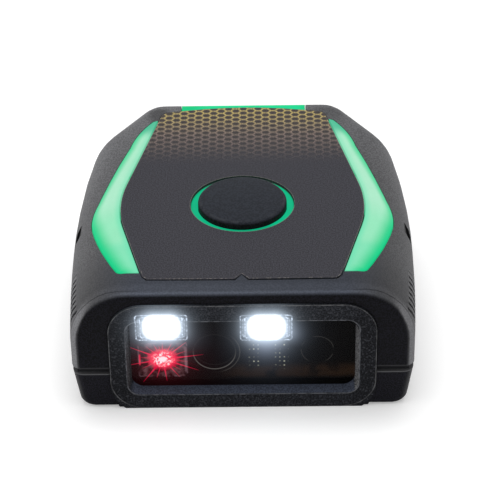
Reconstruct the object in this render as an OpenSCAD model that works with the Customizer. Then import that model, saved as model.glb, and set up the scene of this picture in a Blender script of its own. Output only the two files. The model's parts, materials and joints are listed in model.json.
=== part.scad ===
// Wearable barcode scanner, a small hand scanner that clips to a glove or a wrist holder.
// Millimetres. +Z is up and the scan window looks along -Y. The dock foot stands on z = 0,
// and the origin lies on that plane below the middle of the housing.

/* [Housing] */
// Widest part of the housing, from side to side
body_w = 50.6; // [49.5:0.1:54]
// Length of the housing, from its front face to its rear
body_l = 52.6; // [51.5:0.1:56]
// Height of the flat top above the surface that the foot stands on
body_h = 20.2; // [20:0.1:23]
// Thickness of the walls of both shells
wall = 1.4; // [1.2:0.05:1.6]
// How much the half width shrinks from the widest place to the front
side_bow = 1.0; // [0.6:0.1:1.4]
// Distance of the widest place from the front face
widest_y = 24; // [20:0.5:28]
// How much the half width shrinks from there to the slanted rear corners
rear_bow = 2.2; // [1.8:0.1:2.5]
// Radius between a side and the top, at the front
shoulder_front_r = 8.4; // [7:0.1:9]
// Radius between a side and the top, at the rear
shoulder_rear_r = 3.8; // [3:0.1:5]
// Width of the flat rear between its slanted corners
rear_w = 32; // [31:0.5:34]
// Length of the slanted corners, along the housing
taper_l = 10; // [9:0.5:12]
// Radius where a side turns into the slanted corner
taper_r = 9; // [7:0.5:10]
// Radius where the slanted corner turns into the rear
rear_corner_r = 3; // [2.5:0.1:4]
// Fillet round the arch of the front face
brow_r = 1.3; // [1:0.1:1.6]
// Fillet at the crest of that arch
crest_r = 0.7; // [0.5:0.1:1]
// How far the top rolls down before the arch
brow_drop = 0.8; // [0.5:0.1:1]
// Length of the stretch that rolls down
brow_l = 4.2; // [3.5:0.1:5]
// Fillet along the rear edge of the top
rear_edge_r = 1.2; // [1:0.1:1.6]

/* [Parting line] */
// Height of the rim of the lower shell
seam_z = 5.9; // [5.5:0.1:6.4]
// Height of the shadow gap between the two shells
seam_gap = 1; // [0.8:0.1:1.2]
// Depth of the shadow gap, down to the gasket
seam_depth = 0.7; // [0.5:0.05:0.8]

/* [Lower shell] */
// How far the lower shell stands back from the upper one
lower_inset = 0.1; // [0.05:0.05:0.3]
// How far its sides lean in from the rim to the bottom
lower_taper = 0.7; // [0.4:0.1:1]
// Radius of its bottom edge
lower_edge_r = 1.4; // [1.2:0.1:1.8]
// Height of the dock foot below the shell
foot_h = 0.2; // [0.15:0.05:0.4]
// Width of the dock foot
foot_w = 36; // [34:0.5:36.5]
// Length of the dock foot
foot_l = 40; // [36:0.5:41]

/* [Window] */
// Width of the rubber bezel
bezel_w = 37.9; // [37:0.1:39]
// Height of the rubber bezel
bezel_h = 17.8; // [17.5:0.1:18.1]
// Corner radius of the bezel
bezel_r = 4.8; // [4:0.1:5.5]
// How far the bezel stands in front of the housing
bezel_proud = 0.3; // [0.2:0.05:0.5]
// Width of the window opening
opening_w = 33; // [32:0.1:33.5]
// Height of the window opening
opening_h = 12.7; // [12.4:0.1:13]
// Height of the bezel's face below the opening
bezel_lip = 2.4; // [2.2:0.1:2.6]
// Depth of the window below the bezel's face
window_recess = 1.8; // [1.4:0.1:2.2]
// Thickness of the window pane
window_t = 1; // [0.8:0.1:1.2]
// Width of the seat that holds the pane, on each side
window_seat = 1; // [0.8:0.1:1.2]
// Thickness of the gasket behind the pane
window_gasket_t = 0.4; // [0.3:0.05:0.6]

/* [Top] */
// Width of the top label between the rounded corners of its sides
label_w = 37.3; // [36.5:0.1:37.8]
// Radius of those corners
label_side_r = 26; // [20:1:30]
// Width of the label at its front edge
label_front_w = 28; // [27:0.1:29]
// Width of the label at its rear edge
label_rear_w = 25.8; // [25:0.1:27]
// Thickness of the label
label_t = 0.3; // [0.2:0.05:0.4]
// Distance of the label from the front face
label_y = 2.9; // [2.6:0.1:3.4]
// Thickness of the side light guides at their inner edge
guide_t = 3; // [2.8:0.1:3.2]
// Widest span of the two side light guides
guide_span = 44.4; // [44:0.1:45]
// Width of the rear light guide
rear_guide_w = 19.6; // [18:0.1:21]

/* [Trigger] */
// Distance of the trigger's axis from the front face
trigger_y = 22.6; // [22:0.1:24]
// Outer radius of the light ring round the trigger
ring_r = 7.6; // [7.3:0.05:7.9]
// Width of the light ring
ring_w = 0.95; // [0.85:0.05:1.1]
// How far the light ring lies below the label
ring_recess = 0.4; // [0.3:0.05:0.5]
// How far the trigger cap stands above the label
trigger_proud = 0.7; // [0.6:0.05:0.8]
// Travel of the trigger
trigger_travel = 0.6; // [0.4:0.05:0.65]
// Radius of the trigger's stem
stem_r = 2.2; // [1.8:0.1:2.4]

/* [Scan engine] */
// Width of the scan engine
engine_w = 22.4; // [22:0.1:23]
// Height of the scan engine
engine_h = 11.8; // [11.6:0.1:12]
// Depth of the scan engine
engine_d = 10.5; // [10:0.1:11]
// Sideways place of the camera's axis
camera_x = -4.1; // [-4.4:0.1:-3.8]
// Radius of the camera's lens barrel
barrel_r = 3.05; // [2.8:0.05:3.2]
// Width of the lens blocks in front of the white LEDs
light_lens_w = 7; // [6.6:0.1:7.2]
// Height of the lens blocks in front of the white LEDs
light_lens_h = 4.6; // [4.2:0.1:4.8]
// Height of the lens block in front of the red aimer
aimer_lens_h = 6; // [5.6:0.1:6.2]
// Radius of the lens beside the engine
side_lens_r = 2.1; // [1.9:0.05:2.3]

/* [Power and boards] */
// Width of the battery
battery_w = 34; // [30:0.5:35]
// Gap between the battery and the contact holder behind it
battery_gap = 3.3; // [2.8:0.1:6]
// Gap between the battery and the pieces below the main board
battery_room = 1.2; // [0.8:0.1:2]
// Thickness of the foam pad below the battery
battery_pad_t = 0.4; // [0.3:0.05:0.6]
// Thickness of the circuit boards
board_t = 0.8; // [0.6:0.1:1]
// Width of the main board
main_board_w = 41; // [38:0.5:42]
// Distance between the centres of the charging contacts
contact_pitch = 2.54; // [2:0.02:3]
// Number of charging contacts
contact_count = 4; // [2:1:5]

/* [Fits] */
// Gap round the pieces that are let into the housing
fit_gap = 0.1; // [0.06:0.01:0.14]
// Gap round the pieces that slide
slide_gap = 0.15; // [0.12:0.01:0.25]

/* [Hidden] */
$fn = 64;
eps = 0.01;
overlap = 0.1;
past = 5;
cut = 1;

front_y = -body_l / 2;
half_w = body_w / 2;
bow_r = (widest_y * widest_y + side_bow * side_bow) / (2 * side_bow);
corner_y = body_l - taper_l;
rear_bow_r = (pow(corner_y - widest_y, 2) + rear_bow * rear_bow) / (2 * rear_bow);

shoulder_steps = 9;
fillet_steps = 4;
side_steps = 7;

upper_z = seam_z + seam_gap;
floor_z = foot_h + wall;
ceiling_z = body_h - wall;

bezel_low = 0.9;
bezel_z = (bezel_h - bezel_low) / 2;
window_z = bezel_lip + opening_h / 2;
lower_front_r = 0.3;
opening_r = 1.8;
bezel_depth = window_recess + window_t + window_gasket_t;
bezel_back_y = bezel_depth - bezel_proud;
pane_y = window_recess - bezel_proud;
flange_w = 0.9;
flange_t = 0.7;

trigger_gap = 0.1;
trigger_r = ring_r - ring_w - trigger_gap;
cap_h = 2.2;
cap_z = body_h + trigger_proud - cap_h;
cap_top_t = 1.1;
cap_float = 0.1;
well_z = cap_z - trigger_travel - cap_float;
well_floor_t = 1.3;
well_wall = 1.2;
clip_t = 0.5;
clip_z = well_z - well_floor_t - clip_t;
stem_end = 0.2;
stem_z = clip_z - stem_end;
plunger_r = 1.6;
plunger_h = 2.6;
switch_h = 3;
plunger_out = 1;
board_top_z = stem_z - plunger_out - switch_h;
board_z = board_top_z - board_t;

optics_y = bezel_back_y;
engine_drop = 0.35;
engine_z = window_z - engine_drop;
engine_floor_z = engine_z - engine_h / 2;
engine_back_y = optics_y + engine_d;
light_rise = 2.7;
light_z = window_z + light_rise;
lens_bar = 0.25;
aimer_z = light_z - light_lens_h / 2 - aimer_lens_h / 2 - lens_bar;
camera_drop = 1.6;
camera_z = window_z - camera_drop;
light_dx = 7.25;
left_light_x = camera_x - light_dx;
right_light_x = camera_x + light_dx;
lens_t = 2.4;

// Half width of the upper shell at a distance y from the front face
function side_x(y) =
    let (r = y < widest_y ? bow_r : rear_bow_r, d = min(abs(y - widest_y), r * 0.99))
    half_w - r + sqrt(r * r - d * d);

// How far the top rolls down at a distance y from the front face
function roll_drop(y) = y < brow_l ? brow_drop * pow(1 - y / brow_l, 2) : 0;

// Radius between side and top, easing from the front value to the rear one
function shoulder_r(y) =
    let (t = max(0, min(1, (y - widest_y) / (body_l - widest_y))))
    shoulder_front_r + (shoulder_rear_r - shoulder_front_r) * t * t * (3 - 2 * t);

// Drop of a fillet of radius r, at a distance d before the end of the surface
function fillet_drop(r, d) = d >= r ? 0 : r - sqrt(max(0, r * r - pow(r - d, 2)));

function unit(v) = v / norm(v);

// Points on the arc of radius r that rounds the corner c between the points a and b
function round_corner(a, c, b, r, n) =
    let (
        u = unit(a - c),
        v = unit(b - c),
        half = acos(u * v) / 2,
        centre = c + unit(u + v) * r / sin(half),
        from = c + u * r / tan(half) - centre,
        to = c + v * r / tan(half) - centre,
        a0 = atan2(from.y, from.x),
        a1 = atan2(to.y, to.x)
    )
    [for (i = [0:n]) let (t = a0 + (a1 - a0) * i / n) centre + r * [cos(t), sin(t)]];

// Right-hand corner of the plan outline, a distance off inside the upper shell, with a point
// where a fillet of radius edge_r along the rear edge begins
function rear_outline(off, edge_r) =
    let (
        side = [side_x(corner_y), corner_y],
        back = [rear_w / 2, body_l],
        out = unit([back.y - side.y, side.x - back.x]),
        c1 = [side.x - off, side.y - off * (1 - out.x) / out.y],
        c2 = [side.x - (off + (body_l - off - side.y) * out.y) / out.x, body_l - off],
        corner = round_corner(c1, c2, [0, c2.y], rear_corner_r - off, 5),
        edge_y = c2.y - edge_r
    )
    concat(
        round_corner([side_x(side.y - past) - off, c1.y - past], c1, c2, taper_r - off, 6),
        edge_y < corner[0].y - overlap ? [c1 + (c2 - c1) * (edge_y - c1.y) / (c2.y - c1.y)] : [],
        corner
    );

// Stations along the housing, each [y, side inset, edge inset], where the edge inset also
// lowers the top or lifts the bottom. The form lies a distance off inside the upper shell
// and starts at start_y. The fillet front_r rounds its front at the sides, edge_r at the top
// or bottom, and rear_r rounds it along the rear edge.
function stations(off, start_y, front_r, edge_r, rear_r) =
    let (
        rear = rear_outline(off, rear_r),
        first_y = start_y + front_r,
        last_y = rear[0].y,
        end_y = body_l - off
    )
    concat(
        [for (i = [0:1:front_r > 0 ? fillet_steps - 1 : -1])
            let (t = 90 * i / fillet_steps, d = front_r * (1 - cos(t)))
            [start_y + d, off + front_r * (1 - sin(t)), off + fillet_drop(edge_r, d)]],
        [for (y = [first_y, first_y + 1.2, first_y + 2.4]) [y, off, off]],
        [for (i = [1:side_steps - 1])
            [first_y + 2.4 + (last_y - first_y - 2.4) * i / side_steps, off, off]],
        [for (p = rear)
            [p.y, side_x(p.y) - p.x, off + fillet_drop(rear_r, end_y - p.y)]]
    );

// Arch-shaped section of the upper shell at one station
function arch_ring(s, off, bottom_z) =
    let (
        a = side_x(s[0]) - s[1],
        h = body_h - roll_drop(s[0]) - s[2],
        r = max(0.2, shoulder_r(s[0]) - off - (s[0] < widest_y ? s[1] - off : 0))
    )
    concat(
        [[a, s[0], bottom_z]],
        [for (i = [0:shoulder_steps])
            let (t = 90 * i / shoulder_steps)
            [a - r + r * cos(t), s[0], h - r + r * sin(t)]],
        [for (i = [shoulder_steps:-1:0])
            let (t = 90 * i / shoulder_steps)
            [-(a - r + r * cos(t)), s[0], h - r + r * sin(t)]],
        [[-a, s[0], bottom_z]]
    );

// Tray-shaped section of the lower shell at one station
function tray_ring(s, top_z, edge_r) =
    let (
        a = side_x(s[0]) - s[1],
        b = foot_h + s[2],
        low = a - lower_taper
    )
    concat(
        [for (i = [0:fillet_steps])
            let (t = -90 + 90 * i / fillet_steps)
            [low - edge_r + edge_r * cos(t), s[0], b + edge_r + edge_r * sin(t)]],
        [[a, s[0], top_z], [-a, s[0], top_z]],
        [for (i = [fillet_steps:-1:0])
            let (t = -90 + 90 * i / fillet_steps)
            [-(low - edge_r + edge_r * cos(t)), s[0], b + edge_r + edge_r * sin(t)]]
    );

// Straight-sided section between two heights at one station
function band_ring(s, low_z, high_z) =
    let (a = side_x(s[0]) - s[1])
    [[a, s[0], low_z], [a, s[0], high_z], [-a, s[0], high_z], [-a, s[0], low_z]];

// Closed skin through a row of rings with equally many points, in order along +Y
module loft(rings) {
    n = len(rings[0]);
    last = len(rings) - 1;
    polyhedron(
        points = [for (ring = rings) each ring],
        faces = concat(
            [[for (i = [n - 1:-1:0]) i]],
            [for (k = [0:last - 1], i = [0:n - 1])
                [k * n + i, k * n + (i + 1) % n, (k + 1) * n + (i + 1) % n]],
            [for (k = [0:last - 1], i = [0:n - 1])
                [k * n + i, (k + 1) * n + (i + 1) % n, (k + 1) * n + i]],
            [[for (i = [0:n - 1]) last * n + i]]
        )
    );
}

module upper_form() {
    loft([for (s = stations(0, 0, brow_r, crest_r, rear_edge_r)) arch_ring(s, 0, upper_z)]);
}

module upper_cavity() {
    loft([for (s = stations(wall, wall, 0, 0, rear_edge_r)) arch_ring(s, wall, upper_z - cut)]);
}

module lower_form() {
    loft([for (s = stations(lower_inset, lower_inset, brow_r, lower_front_r, lower_edge_r))
        tray_ring([s[0], s[1], s[2] - lower_inset], seam_z, lower_edge_r)]);
}

module lower_cavity() {
    off = lower_inset + wall;
    loft([for (s = stations(off, wall, 0, 0, lower_edge_r))
        tray_ring([s[0], s[1], s[2] - lower_inset], seam_z + cut, lower_edge_r)]);
}

// Places a piece whose y is measured from the front face of the housing
module from_front() {
    translate([0, front_y, 0]) children();
}

module both_sides() {
    children();
    mirror([1, 0, 0]) children();
}

// Flat shape with round corners, centred
module rounded_rect(w, h, r) {
    square([w - 2 * r, h], center = true);
    square([w, h - 2 * r], center = true);
    for (x = [-1, 1], y = [-1, 1])
        translate([x * (w / 2 - r), y * (h / 2 - r)]) circle(r);
}

// Upright plate facing -Y, with its front at y and its middle at z
module face_plate(w, h, r, y, depth, z) {
    translate([0, y + depth, z]) rotate([90, 0, 0]) linear_extrude(depth) rounded_rect(w, h, r);
}

module block(x, y, z, w, l, h) {
    translate([x - w / 2, y, z]) cube([w, l, h]);
}

// Points at equal angles on the arc from a to c through b, on the right of its centre
function arc_points(a, b, c, n) =
    let (
        d = 2 * (a.x * (b.y - c.y) + b.x * (c.y - a.y) + c.x * (a.y - b.y)),
        centre = [
            ((a * a) * (b.y - c.y) + (b * b) * (c.y - a.y) + (c * c) * (a.y - b.y)) / d,
            ((a * a) * (c.x - b.x) + (b * b) * (a.x - c.x) + (c * c) * (b.x - a.x)) / d
        ],
        r = norm(a - centre),
        from = atan2(a.y - centre.y, a.x - centre.x),
        to = atan2(c.y - centre.y, c.x - centre.x)
    )
    [for (i = [0:n]) let (t = from + (to - from) * i / n) centre + r * [cos(t), sin(t)]];

label_rear_y = body_l - 3.1;
label_corner = 0.7;
label_rear_bow = 1.5;
notch_w = 2;
notch_d = 1.2;
edge_bow = 0.1;
label_wide_front = 0.5;

// Right-hand edge of the label, from front to rear, moved out by grow
function label_side(grow) =
    let (
        front = [label_front_w / 2 + grow, label_y + label_corner],
        rear = [label_rear_w / 2 + grow, label_rear_y - label_corner]
    )
    concat(
        [front],
        round_corner(front, [label_w / 2 + grow, trigger_y - label_wide_front], rear, label_side_r, 8),
        [rear]
    );

// Right half of the label's outline, from the notch round to the rear
function label_half(grow) =
    concat(
        [
            [0, label_y + notch_d - edge_bow - grow],
            [notch_w / 2 - grow, label_y - edge_bow - grow],
            [label_front_w / 4, label_y - edge_bow * 0.75 - grow],
            [label_front_w / 2 - label_corner + grow, label_y - grow]
        ],
        label_side(grow),
        [
            [label_rear_w / 2 - label_corner + grow, label_rear_y + grow],
            for (i = [3:-1:0]) [
                (label_rear_w / 2 - label_corner) * i / 4,
                label_rear_y + label_rear_bow * (1 - i * i / 16) + grow
            ]
        ]
    );

module label_outline(grow) {
    half = label_half(grow);
    polygon(concat(half, [for (i = [len(half) - 2:-1:1]) [-half[i].x, half[i].y]]));
}

guide_gap = 0.2;
guide_step = 0.5;
guide_front_y = label_y + 1.7;
guide_tip_y = label_rear_y - 2.4;
guide_front_w = 3;
guide_front_r = 0.9;
guide_front_bulge = 0.5;
guide_wide_y = 20.6;
guide_wide_front = [0.2, 2.2];
guide_wide_rear = [0.8, 4.2];
guide_rear_run = [4.85, 18.1];
guide_bend_at = 0.52;
guide_bulge = 0.5;
guide_tip_w = 0.7;
guide_tip_slant = 0.35;
guide_leg_r = 1.3;
guide_leg_front = 5.4;
guide_leg_rear = 7;
guide_legs = [trigger_y - guide_leg_front, trigger_y + guide_leg_rear];
guide_leg_in = 1.6;
leg_gap = 0.2;

function guide_inner(y) = lookup(y, [for (p = label_side(guide_gap)) [p.y, p.x]]);

// Outline of the right light guide, grown on all sides
function guide_points(grow) =
    let (
        front = [guide_inner(guide_front_y) - 1.5 * grow, guide_front_y - grow],
        corner = [guide_inner(guide_front_y) + guide_front_w + grow, front.y],
        wide = [guide_span / 2 + grow, guide_wide_y],
        before = wide - guide_wide_front,
        after = wide + [-guide_wide_rear.x, guide_wide_rear.y],
        mid = wide + [-guide_rear_run.x, guide_rear_run.y],
        tip = [guide_inner(guide_tip_y) + guide_tip_w + grow, guide_tip_y - guide_tip_slant + grow],
        side = arc_points(corner, (corner + before) / 2 + [guide_front_bulge, 0], before, 6)
    )
    concat(
        [front],
        round_corner(front, corner, side[1], guide_front_r, 4),
        [for (i = [1:5]) side[i]],
        arc_points(before, wide, after, 6),
        arc_points(mid, mid + guide_bend_at * (tip - mid) + [guide_bulge, 0], tip, 8),
        [for (p = label_reverse(guide_front_y, guide_tip_y)) [guide_inner(p) - 1.5 * grow, p]]
    );

// Heights along the label's edge between two limits, from rear to front
function label_reverse(low, high) =
    let (side = label_side(guide_gap))
    concat(
        [high + eps],
        [for (i = [len(side) - 1:-1:0])
            if (side[i].y > low + guide_step && side[i].y < high - guide_step) side[i].y]
    );

// Right light guide down to the height low_z
module guide_body(grow, low_z) {
    intersection() {
        upper_form();
        translate([0, 0, low_z]) linear_extrude(past * 2) polygon(guide_points(grow));
    }
}

guide_z = body_h - guide_t;
tray_w = 0.9;
tray_t = 1;
rear_guide_t = 2.6;
rear_guide_h = 1.9;
rear_pad_d = 2.2;
rear_pad_t = 1.2;
rear_pad_side = 1;

boss_r = 2.4;
screw_r = 0.8;
screw_head_r = 1.6;
screw_head_h = 1.2;
screw_sink = 0.5;
housing_screw_l = 9;
screw_in = 5;
screw_out = 0.4;
screw_end_gap = 9;
screw_places = [
    [half_w - screw_in, screw_end_gap],
    [rear_w / 2 + screw_out, body_l - screw_end_gap]
];

post_r = 1.7;
board_screw_r = 0.6;
board_screw_l = 4.5;
board_head_r = 1.3;
board_head_h = 0.8;
screw_end = 0.3;
board_gap = 1.2;
board_rear_gap = 2.4;
board_front_y = engine_back_y + board_t + board_gap;
board_rear_y = body_l - wall - board_rear_gap;
board_neck_w = 27;
post_in = 2.3;
post_places = [[main_board_w / 2 - 6.5, board_front_y + post_in], [10, board_rear_y - post_in]];

grip_count = 7;
grip_pitch = 1.3;
grip_l = 6.6;
grip_w = 0.5;
grip_d = 0.2;
grip_y = 3;
grip_z = 12.8;
grip_in = 3;
grip_lean = 25;

latch_l = 2.6;
latch_h = 2.8;
latch_d = 0.95;
latch_y = 21.7;
latch_z = 14.8;
latch_lean = 12;

screw_seat_z = foot_h + screw_sink + screw_head_h;
tray_gap = 0.2;
tray_h = 2.4;
tray_wall = 1;
battery_front_gap = 1.6;
battery_y = engine_back_y + board_t + battery_front_gap;

contact_r = 0.9;
contact_rear = 8;
contact_y = body_l - contact_rear;
contact_span = contact_pitch * (contact_count - 1);
contact_tail = 0.6;
contact_sink = 0.1;
holder_w = 3.8;
holder_h = 2.6;
holder_end = 2.3;
dish_w = 3.6;
dish_d = 0.3;
dish_end = 2;
battery_l = contact_y - holder_w / 2 - battery_gap - battery_y;
battery_r = 1.5;

flare = 0.5;
pane_w = opening_w - 2 * flare + 2 * window_seat;
pane_h = opening_h - flare + 2 * window_seat;
pane_r = opening_r + 0.5;

cap_r = trigger_r;
cap_edge = 0.5;
cap_skirt = 1.2;
clip_w = 1.2;
seal_gap = 0.05;
seal_h = cap_z + cap_h - cap_top_t - trigger_travel - seal_gap - well_z;
seal_side = 0.3;
switch_w = 6;
switch_floor = 0.3;
board_neck_gap = 1.9;
board_neck_y = screw_places[1].y - boss_r - board_neck_gap;
board_neck_l = 1.8;
shield_w = 13;
shield_l = 11;
shield_h = 1.8;
shield_t = 0.3;
shield_rear = 2.5;
shield_y = board_rear_y - shield_rear - shield_l;
led_w = 1.6;
led_h = 0.8;
buzzer_w = 9;
buzzer_h = 2.3;
buzzer_hole_r = 1;
buzzer_x = 10.5;
buzzer_rear = 1;
buzzer_y = trigger_y + buzzer_rear;
motor_r = 4;
motor_h = 2.6;
battery_h = board_z - motor_h - battery_room - floor_z - battery_pad_t;
pad_in = 2;

flex_w = 8;
flex_t = 0.2;
flex_y = engine_back_y + board_t;
flex_x = 2;
flex_rise = 2;
flex_drop = 3.6;
flex_z = board_z - flex_drop;
flex_bend = 2;
flex_tail = 4;

lens_gap = 0.05;
led_seat = 3.4;
lamp_w = 3;
lower_lens_w = 6.3;
slot_w = 3.9;
slot_h = 1.8;
slot_d = 0.7;
barrel_sink = 0.4;
barrel_y = optics_y + barrel_sink;
barrel_l = 7.2;
barrel_t = 0.8;
barrel_seat = 0.6;
collar_w = 0.65;
collar_t = 0.2;
camera_lens_r = 2.4;
camera_lens_y = 1.8;
lens_bulge = 1.2;
bulge_r = 5;
sensor_w = 6.4;
sensor_h = 5.2;
sensor_t = 0.9;
sensor_room = 1.6;
sensor_side = 1;
lens_dish_r = 9;
lens_dish_d = 0.7;
ear_w = 2.9;
ear_l = 2.6;
ear_t = 1;
engine_screw_r = 0.6;
engine_screw_l = 2.6;
engine_head_r = 1.2;
engine_head_h = 0.7;
engine_screw_x = [for (side = [-1, 1]) camera_x + side * (engine_w / 2 + ear_w / 2 - overlap)];
engine_screw_y = engine_back_y - ear_l / 2;
engine_screw_z = engine_floor_z + ear_t;
bracket_w = 36;
bracket_t = 0.8;
bracket_post = 2.5;
bracket_h = window_z + pane_h / 2 - floor_z;
side_optic_w = 7.3;
side_optic_gap = 0.8;
side_optic_x = camera_x + engine_w / 2 + side_optic_gap + side_optic_w / 2;
side_optic_d = 5;
side_lens_in = 1;
side_lens_x = side_optic_x - side_lens_in;
side_lens_up = 0.2;
side_lens_z = camera_z + side_lens_up;
side_lens_d = 2;
side_lens_t = 0.8;

function contact_x(i) = (i - (contact_count - 1) / 2) * contact_pitch;

// Fine slanted grooves for the fingers, on the right side, that follow the outer form
module grip_grooves() {
    end_y = grip_y + (grip_count - 1) * grip_pitch;
    difference() {
        for (i = [0:grip_count - 1]) {
            y = grip_y + i * grip_pitch;
            translate([side_x(y) - grip_in, y, grip_z]) rotate([grip_lean, 0, 0])
                translate([0, -grip_w / 2, -grip_l / 2]) cube([past, grip_w, grip_l]);
        }
        loft([for (i = [0:4])
            let (y = grip_y - 2 + (end_y - grip_y + 4) * i / 4)
            arch_ring([y, grip_d, grip_d], grip_d, seam_z)]);
    }
}

// Upright plate with the bezel's outline grown by grow, its lower corners cut off level
// with the foot
module bezel_plate(grow, y, depth, low_z) {
    intersection() {
        face_plate(bezel_w + 2 * grow, bezel_h + bezel_low + 2 * grow, bezel_r + grow, y, depth,
            bezel_z);
        block(0, y - cut, low_z, body_w, depth + 2 * cut, body_h * 2);
    }
}

// Hole through the front face for the bezel, with room for its flange behind the face
module bezel_hole() {
    bezel_plate(fit_gap, -past, past + bezel_back_y + fit_gap, -past);
    bezel_plate(flange_w + fit_gap, wall, flange_t + fit_gap, floor_z);
}

// Part of the housing screw bosses between two heights
module screw_bosses(low_z, high_z) {
    both_sides() for (p = screw_places)
        translate([p.x, p.y, low_z]) cylinder(r = boss_r, h = high_z - low_z);
}

module board_posts() {
    both_sides() for (p = post_places)
        translate([p.x, p.y, board_top_z])
            cylinder(r = post_r, h = body_h - board_top_z);
}

module guide_legs_at(r, low_z, high_z) {
    for (y = guide_legs)
        translate([guide_inner(y) + guide_leg_in, y, low_z]) cylinder(r = r, h = high_z - low_z);
}

// Strip behind the label's rear edge, made smaller by gap, that runs out at the rear and the top
module rear_strip(gap) difference() {
    block(0, body_l - rear_guide_t + gap, body_h - rear_guide_h, rear_guide_w - 2 * gap, past, past);
    linear_extrude(body_h + past * 2) label_outline(gap);
}

// Room inside the upper shell, round the pieces that hang from its top
module upper_room() {
    difference() {
        upper_cavity();
        screw_bosses(upper_z - 2 * cut, body_h);
        both_sides() translate([0, 0, guide_z - tray_t])
            linear_extrude(past) polygon(guide_points(tray_w));
        board_posts();
        translate([0, trigger_y, well_z - well_floor_t]) cylinder(r = ring_r + well_wall, h = past);
        block(0, body_l - wall - rear_pad_d, body_h - rear_guide_h - rear_pad_t,
            rear_guide_w + 2 * rear_pad_side, past, past);
    }
}

module upper_housing() color("#3c3c40") from_front() difference() {
    upper_form();
    upper_room();
    both_sides() translate([0, 0, guide_z]) linear_extrude(past) polygon(guide_points(fit_gap));
    both_sides() guide_legs_at(guide_leg_r + fit_gap, guide_z - past, guide_z + overlap);
    translate([0, 0, body_h - label_t]) linear_extrude(past) label_outline(fit_gap);
    translate([0, trigger_y, well_z]) cylinder(r = ring_r + fit_gap, h = past);
    translate([0, trigger_y, well_z - past]) cylinder(r = stem_r + slide_gap, h = past + cut);
    rear_strip(-fit_gap);
    both_sides() for (p = screw_places)
        translate([p.x, p.y, upper_z - cut]) cylinder(r = screw_r, h = housing_screw_l);
    both_sides() for (p = post_places)
        translate([p.x, p.y, board_top_z - cut]) cylinder(r = board_screw_r, h = board_screw_l + cut);
    both_sides() translate([side_x(latch_y) - latch_d, latch_y - latch_l / 2, latch_z])
        rotate([0, -latch_lean, 0]) translate([0, 0, -latch_h / 2]) cube([past, latch_l, latch_h]);
    both_sides() grip_grooves();
    bezel_hole();
}

// Dock foot, with its lower edges chamfered at the sides
module dock_foot() {
    translate([0, lower_inset / 2 + foot_l, 0]) rotate([90, 0, 0]) linear_extrude(foot_l)
        polygon([
            [-foot_w / 2 + foot_h, 0], [foot_w / 2 - foot_h, 0], [foot_w / 2, foot_h],
            [foot_w / 2, floor_z], [-foot_w / 2, floor_z], [-foot_w / 2, foot_h]
        ]);
}

// Low wall round the battery
module battery_tray() {
    difference() {
        block(0, battery_y - tray_gap - tray_wall, floor_z - overlap,
            battery_w + 2 * (tray_gap + tray_wall), battery_l + 2 * (tray_gap + tray_wall),
            tray_h + overlap);
        block(0, battery_y - tray_gap, floor_z - cut,
            battery_w + 2 * tray_gap, battery_l + 2 * tray_gap, past + tray_h);
        block(0, battery_y - past, floor_z, battery_w * 0.6, battery_l + 2 * past, past);
    }
}

module lower_housing() color("#2c2c30") from_front() difference() {
    union() {
        difference() {
            lower_form();
            lower_cavity();
        }
        dock_foot();
        screw_bosses(floor_z - overlap, upper_z);
        battery_tray();
    }
    both_sides() for (p = screw_places) {
        translate([p.x, p.y, -cut]) cylinder(r = screw_head_r + slide_gap, h = screw_seat_z + cut);
        translate([p.x, p.y, -cut]) cylinder(r = screw_r + fit_gap, h = past * 2);
    }
    for (x = engine_screw_x)
        translate([x, engine_screw_y, engine_screw_z - engine_screw_l])
            cylinder(r = engine_screw_r, h = past);
    for (i = [0:contact_count - 1])
        translate([contact_x(i), contact_y, -cut]) cylinder(r = contact_r + fit_gap, h = past);
    block(0, contact_y - dish_w / 2, foot_h - cut, contact_span + 2 * dish_end, dish_w, cut + dish_d);
    bezel_hole();
}

module housing_gasket() color("#18181a") from_front() difference() {
    loft([for (s = stations(seam_depth, seam_depth, 0, 0, 0)) band_ring(s, seam_z, upper_z)]);
    loft([for (s = stations(wall, wall, 0, 0, 0)) band_ring(s, seam_z - cut, upper_z + cut)]);
    bezel_hole();
}

module window_bezel() color("#26262a") from_front() difference() {
    union() {
        bezel_plate(0, -bezel_proud, bezel_depth, 0);
        bezel_plate(flange_w, wall, flange_t, floor_z + fit_gap);
    }
    hull() {
        face_plate(opening_w, opening_h, opening_r, -bezel_proud - eps, eps, window_z);
        face_plate(opening_w - 2 * flare, opening_h - flare, opening_r, pane_y, eps, window_z);
    }
    face_plate(pane_w + 2 * fit_gap, pane_h + 2 * fit_gap, pane_r, pane_y, past, window_z);
}

module scan_window() color("#5a5c64", 0.35) from_front()
    face_plate(pane_w, pane_h, pane_r, pane_y, window_t, window_z);

module window_gasket() color("#101012") from_front() difference() {
    face_plate(pane_w, pane_h, pane_r, pane_y + window_t, window_gasket_t, window_z);
    face_plate(opening_w - 2 * flare, opening_h - flare, opening_r, 0, past, window_z);
}

module top_label() color("#48484e") from_front() difference() {
    translate([0, 0, body_h - label_t]) linear_extrude(label_t) label_outline(0);
    translate([0, trigger_y, body_h - cut]) cylinder(r = ring_r + fit_gap, h = 2 * cut);
}

module light_guide() {
    guide_body(0, guide_z);
    guide_legs_at(guide_leg_r, board_top_z + led_h + leg_gap, guide_z + overlap);
}

module right_light_guide() color("#3fe0a0") from_front() light_guide();

module left_light_guide() color("#3fe0a0") from_front() mirror([1, 0, 0]) light_guide();

module rear_light_guide() color("#3fe0a0") from_front() intersection() {
    upper_form();
    rear_strip(0);
}

module trigger_light_ring() color("#20b890") from_front()
    translate([0, trigger_y, well_z]) difference() {
        cylinder(r = ring_r, h = body_h - ring_recess - well_z);
        translate([0, 0, -cut]) cylinder(r = ring_r - ring_w, h = past);
    }

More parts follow.
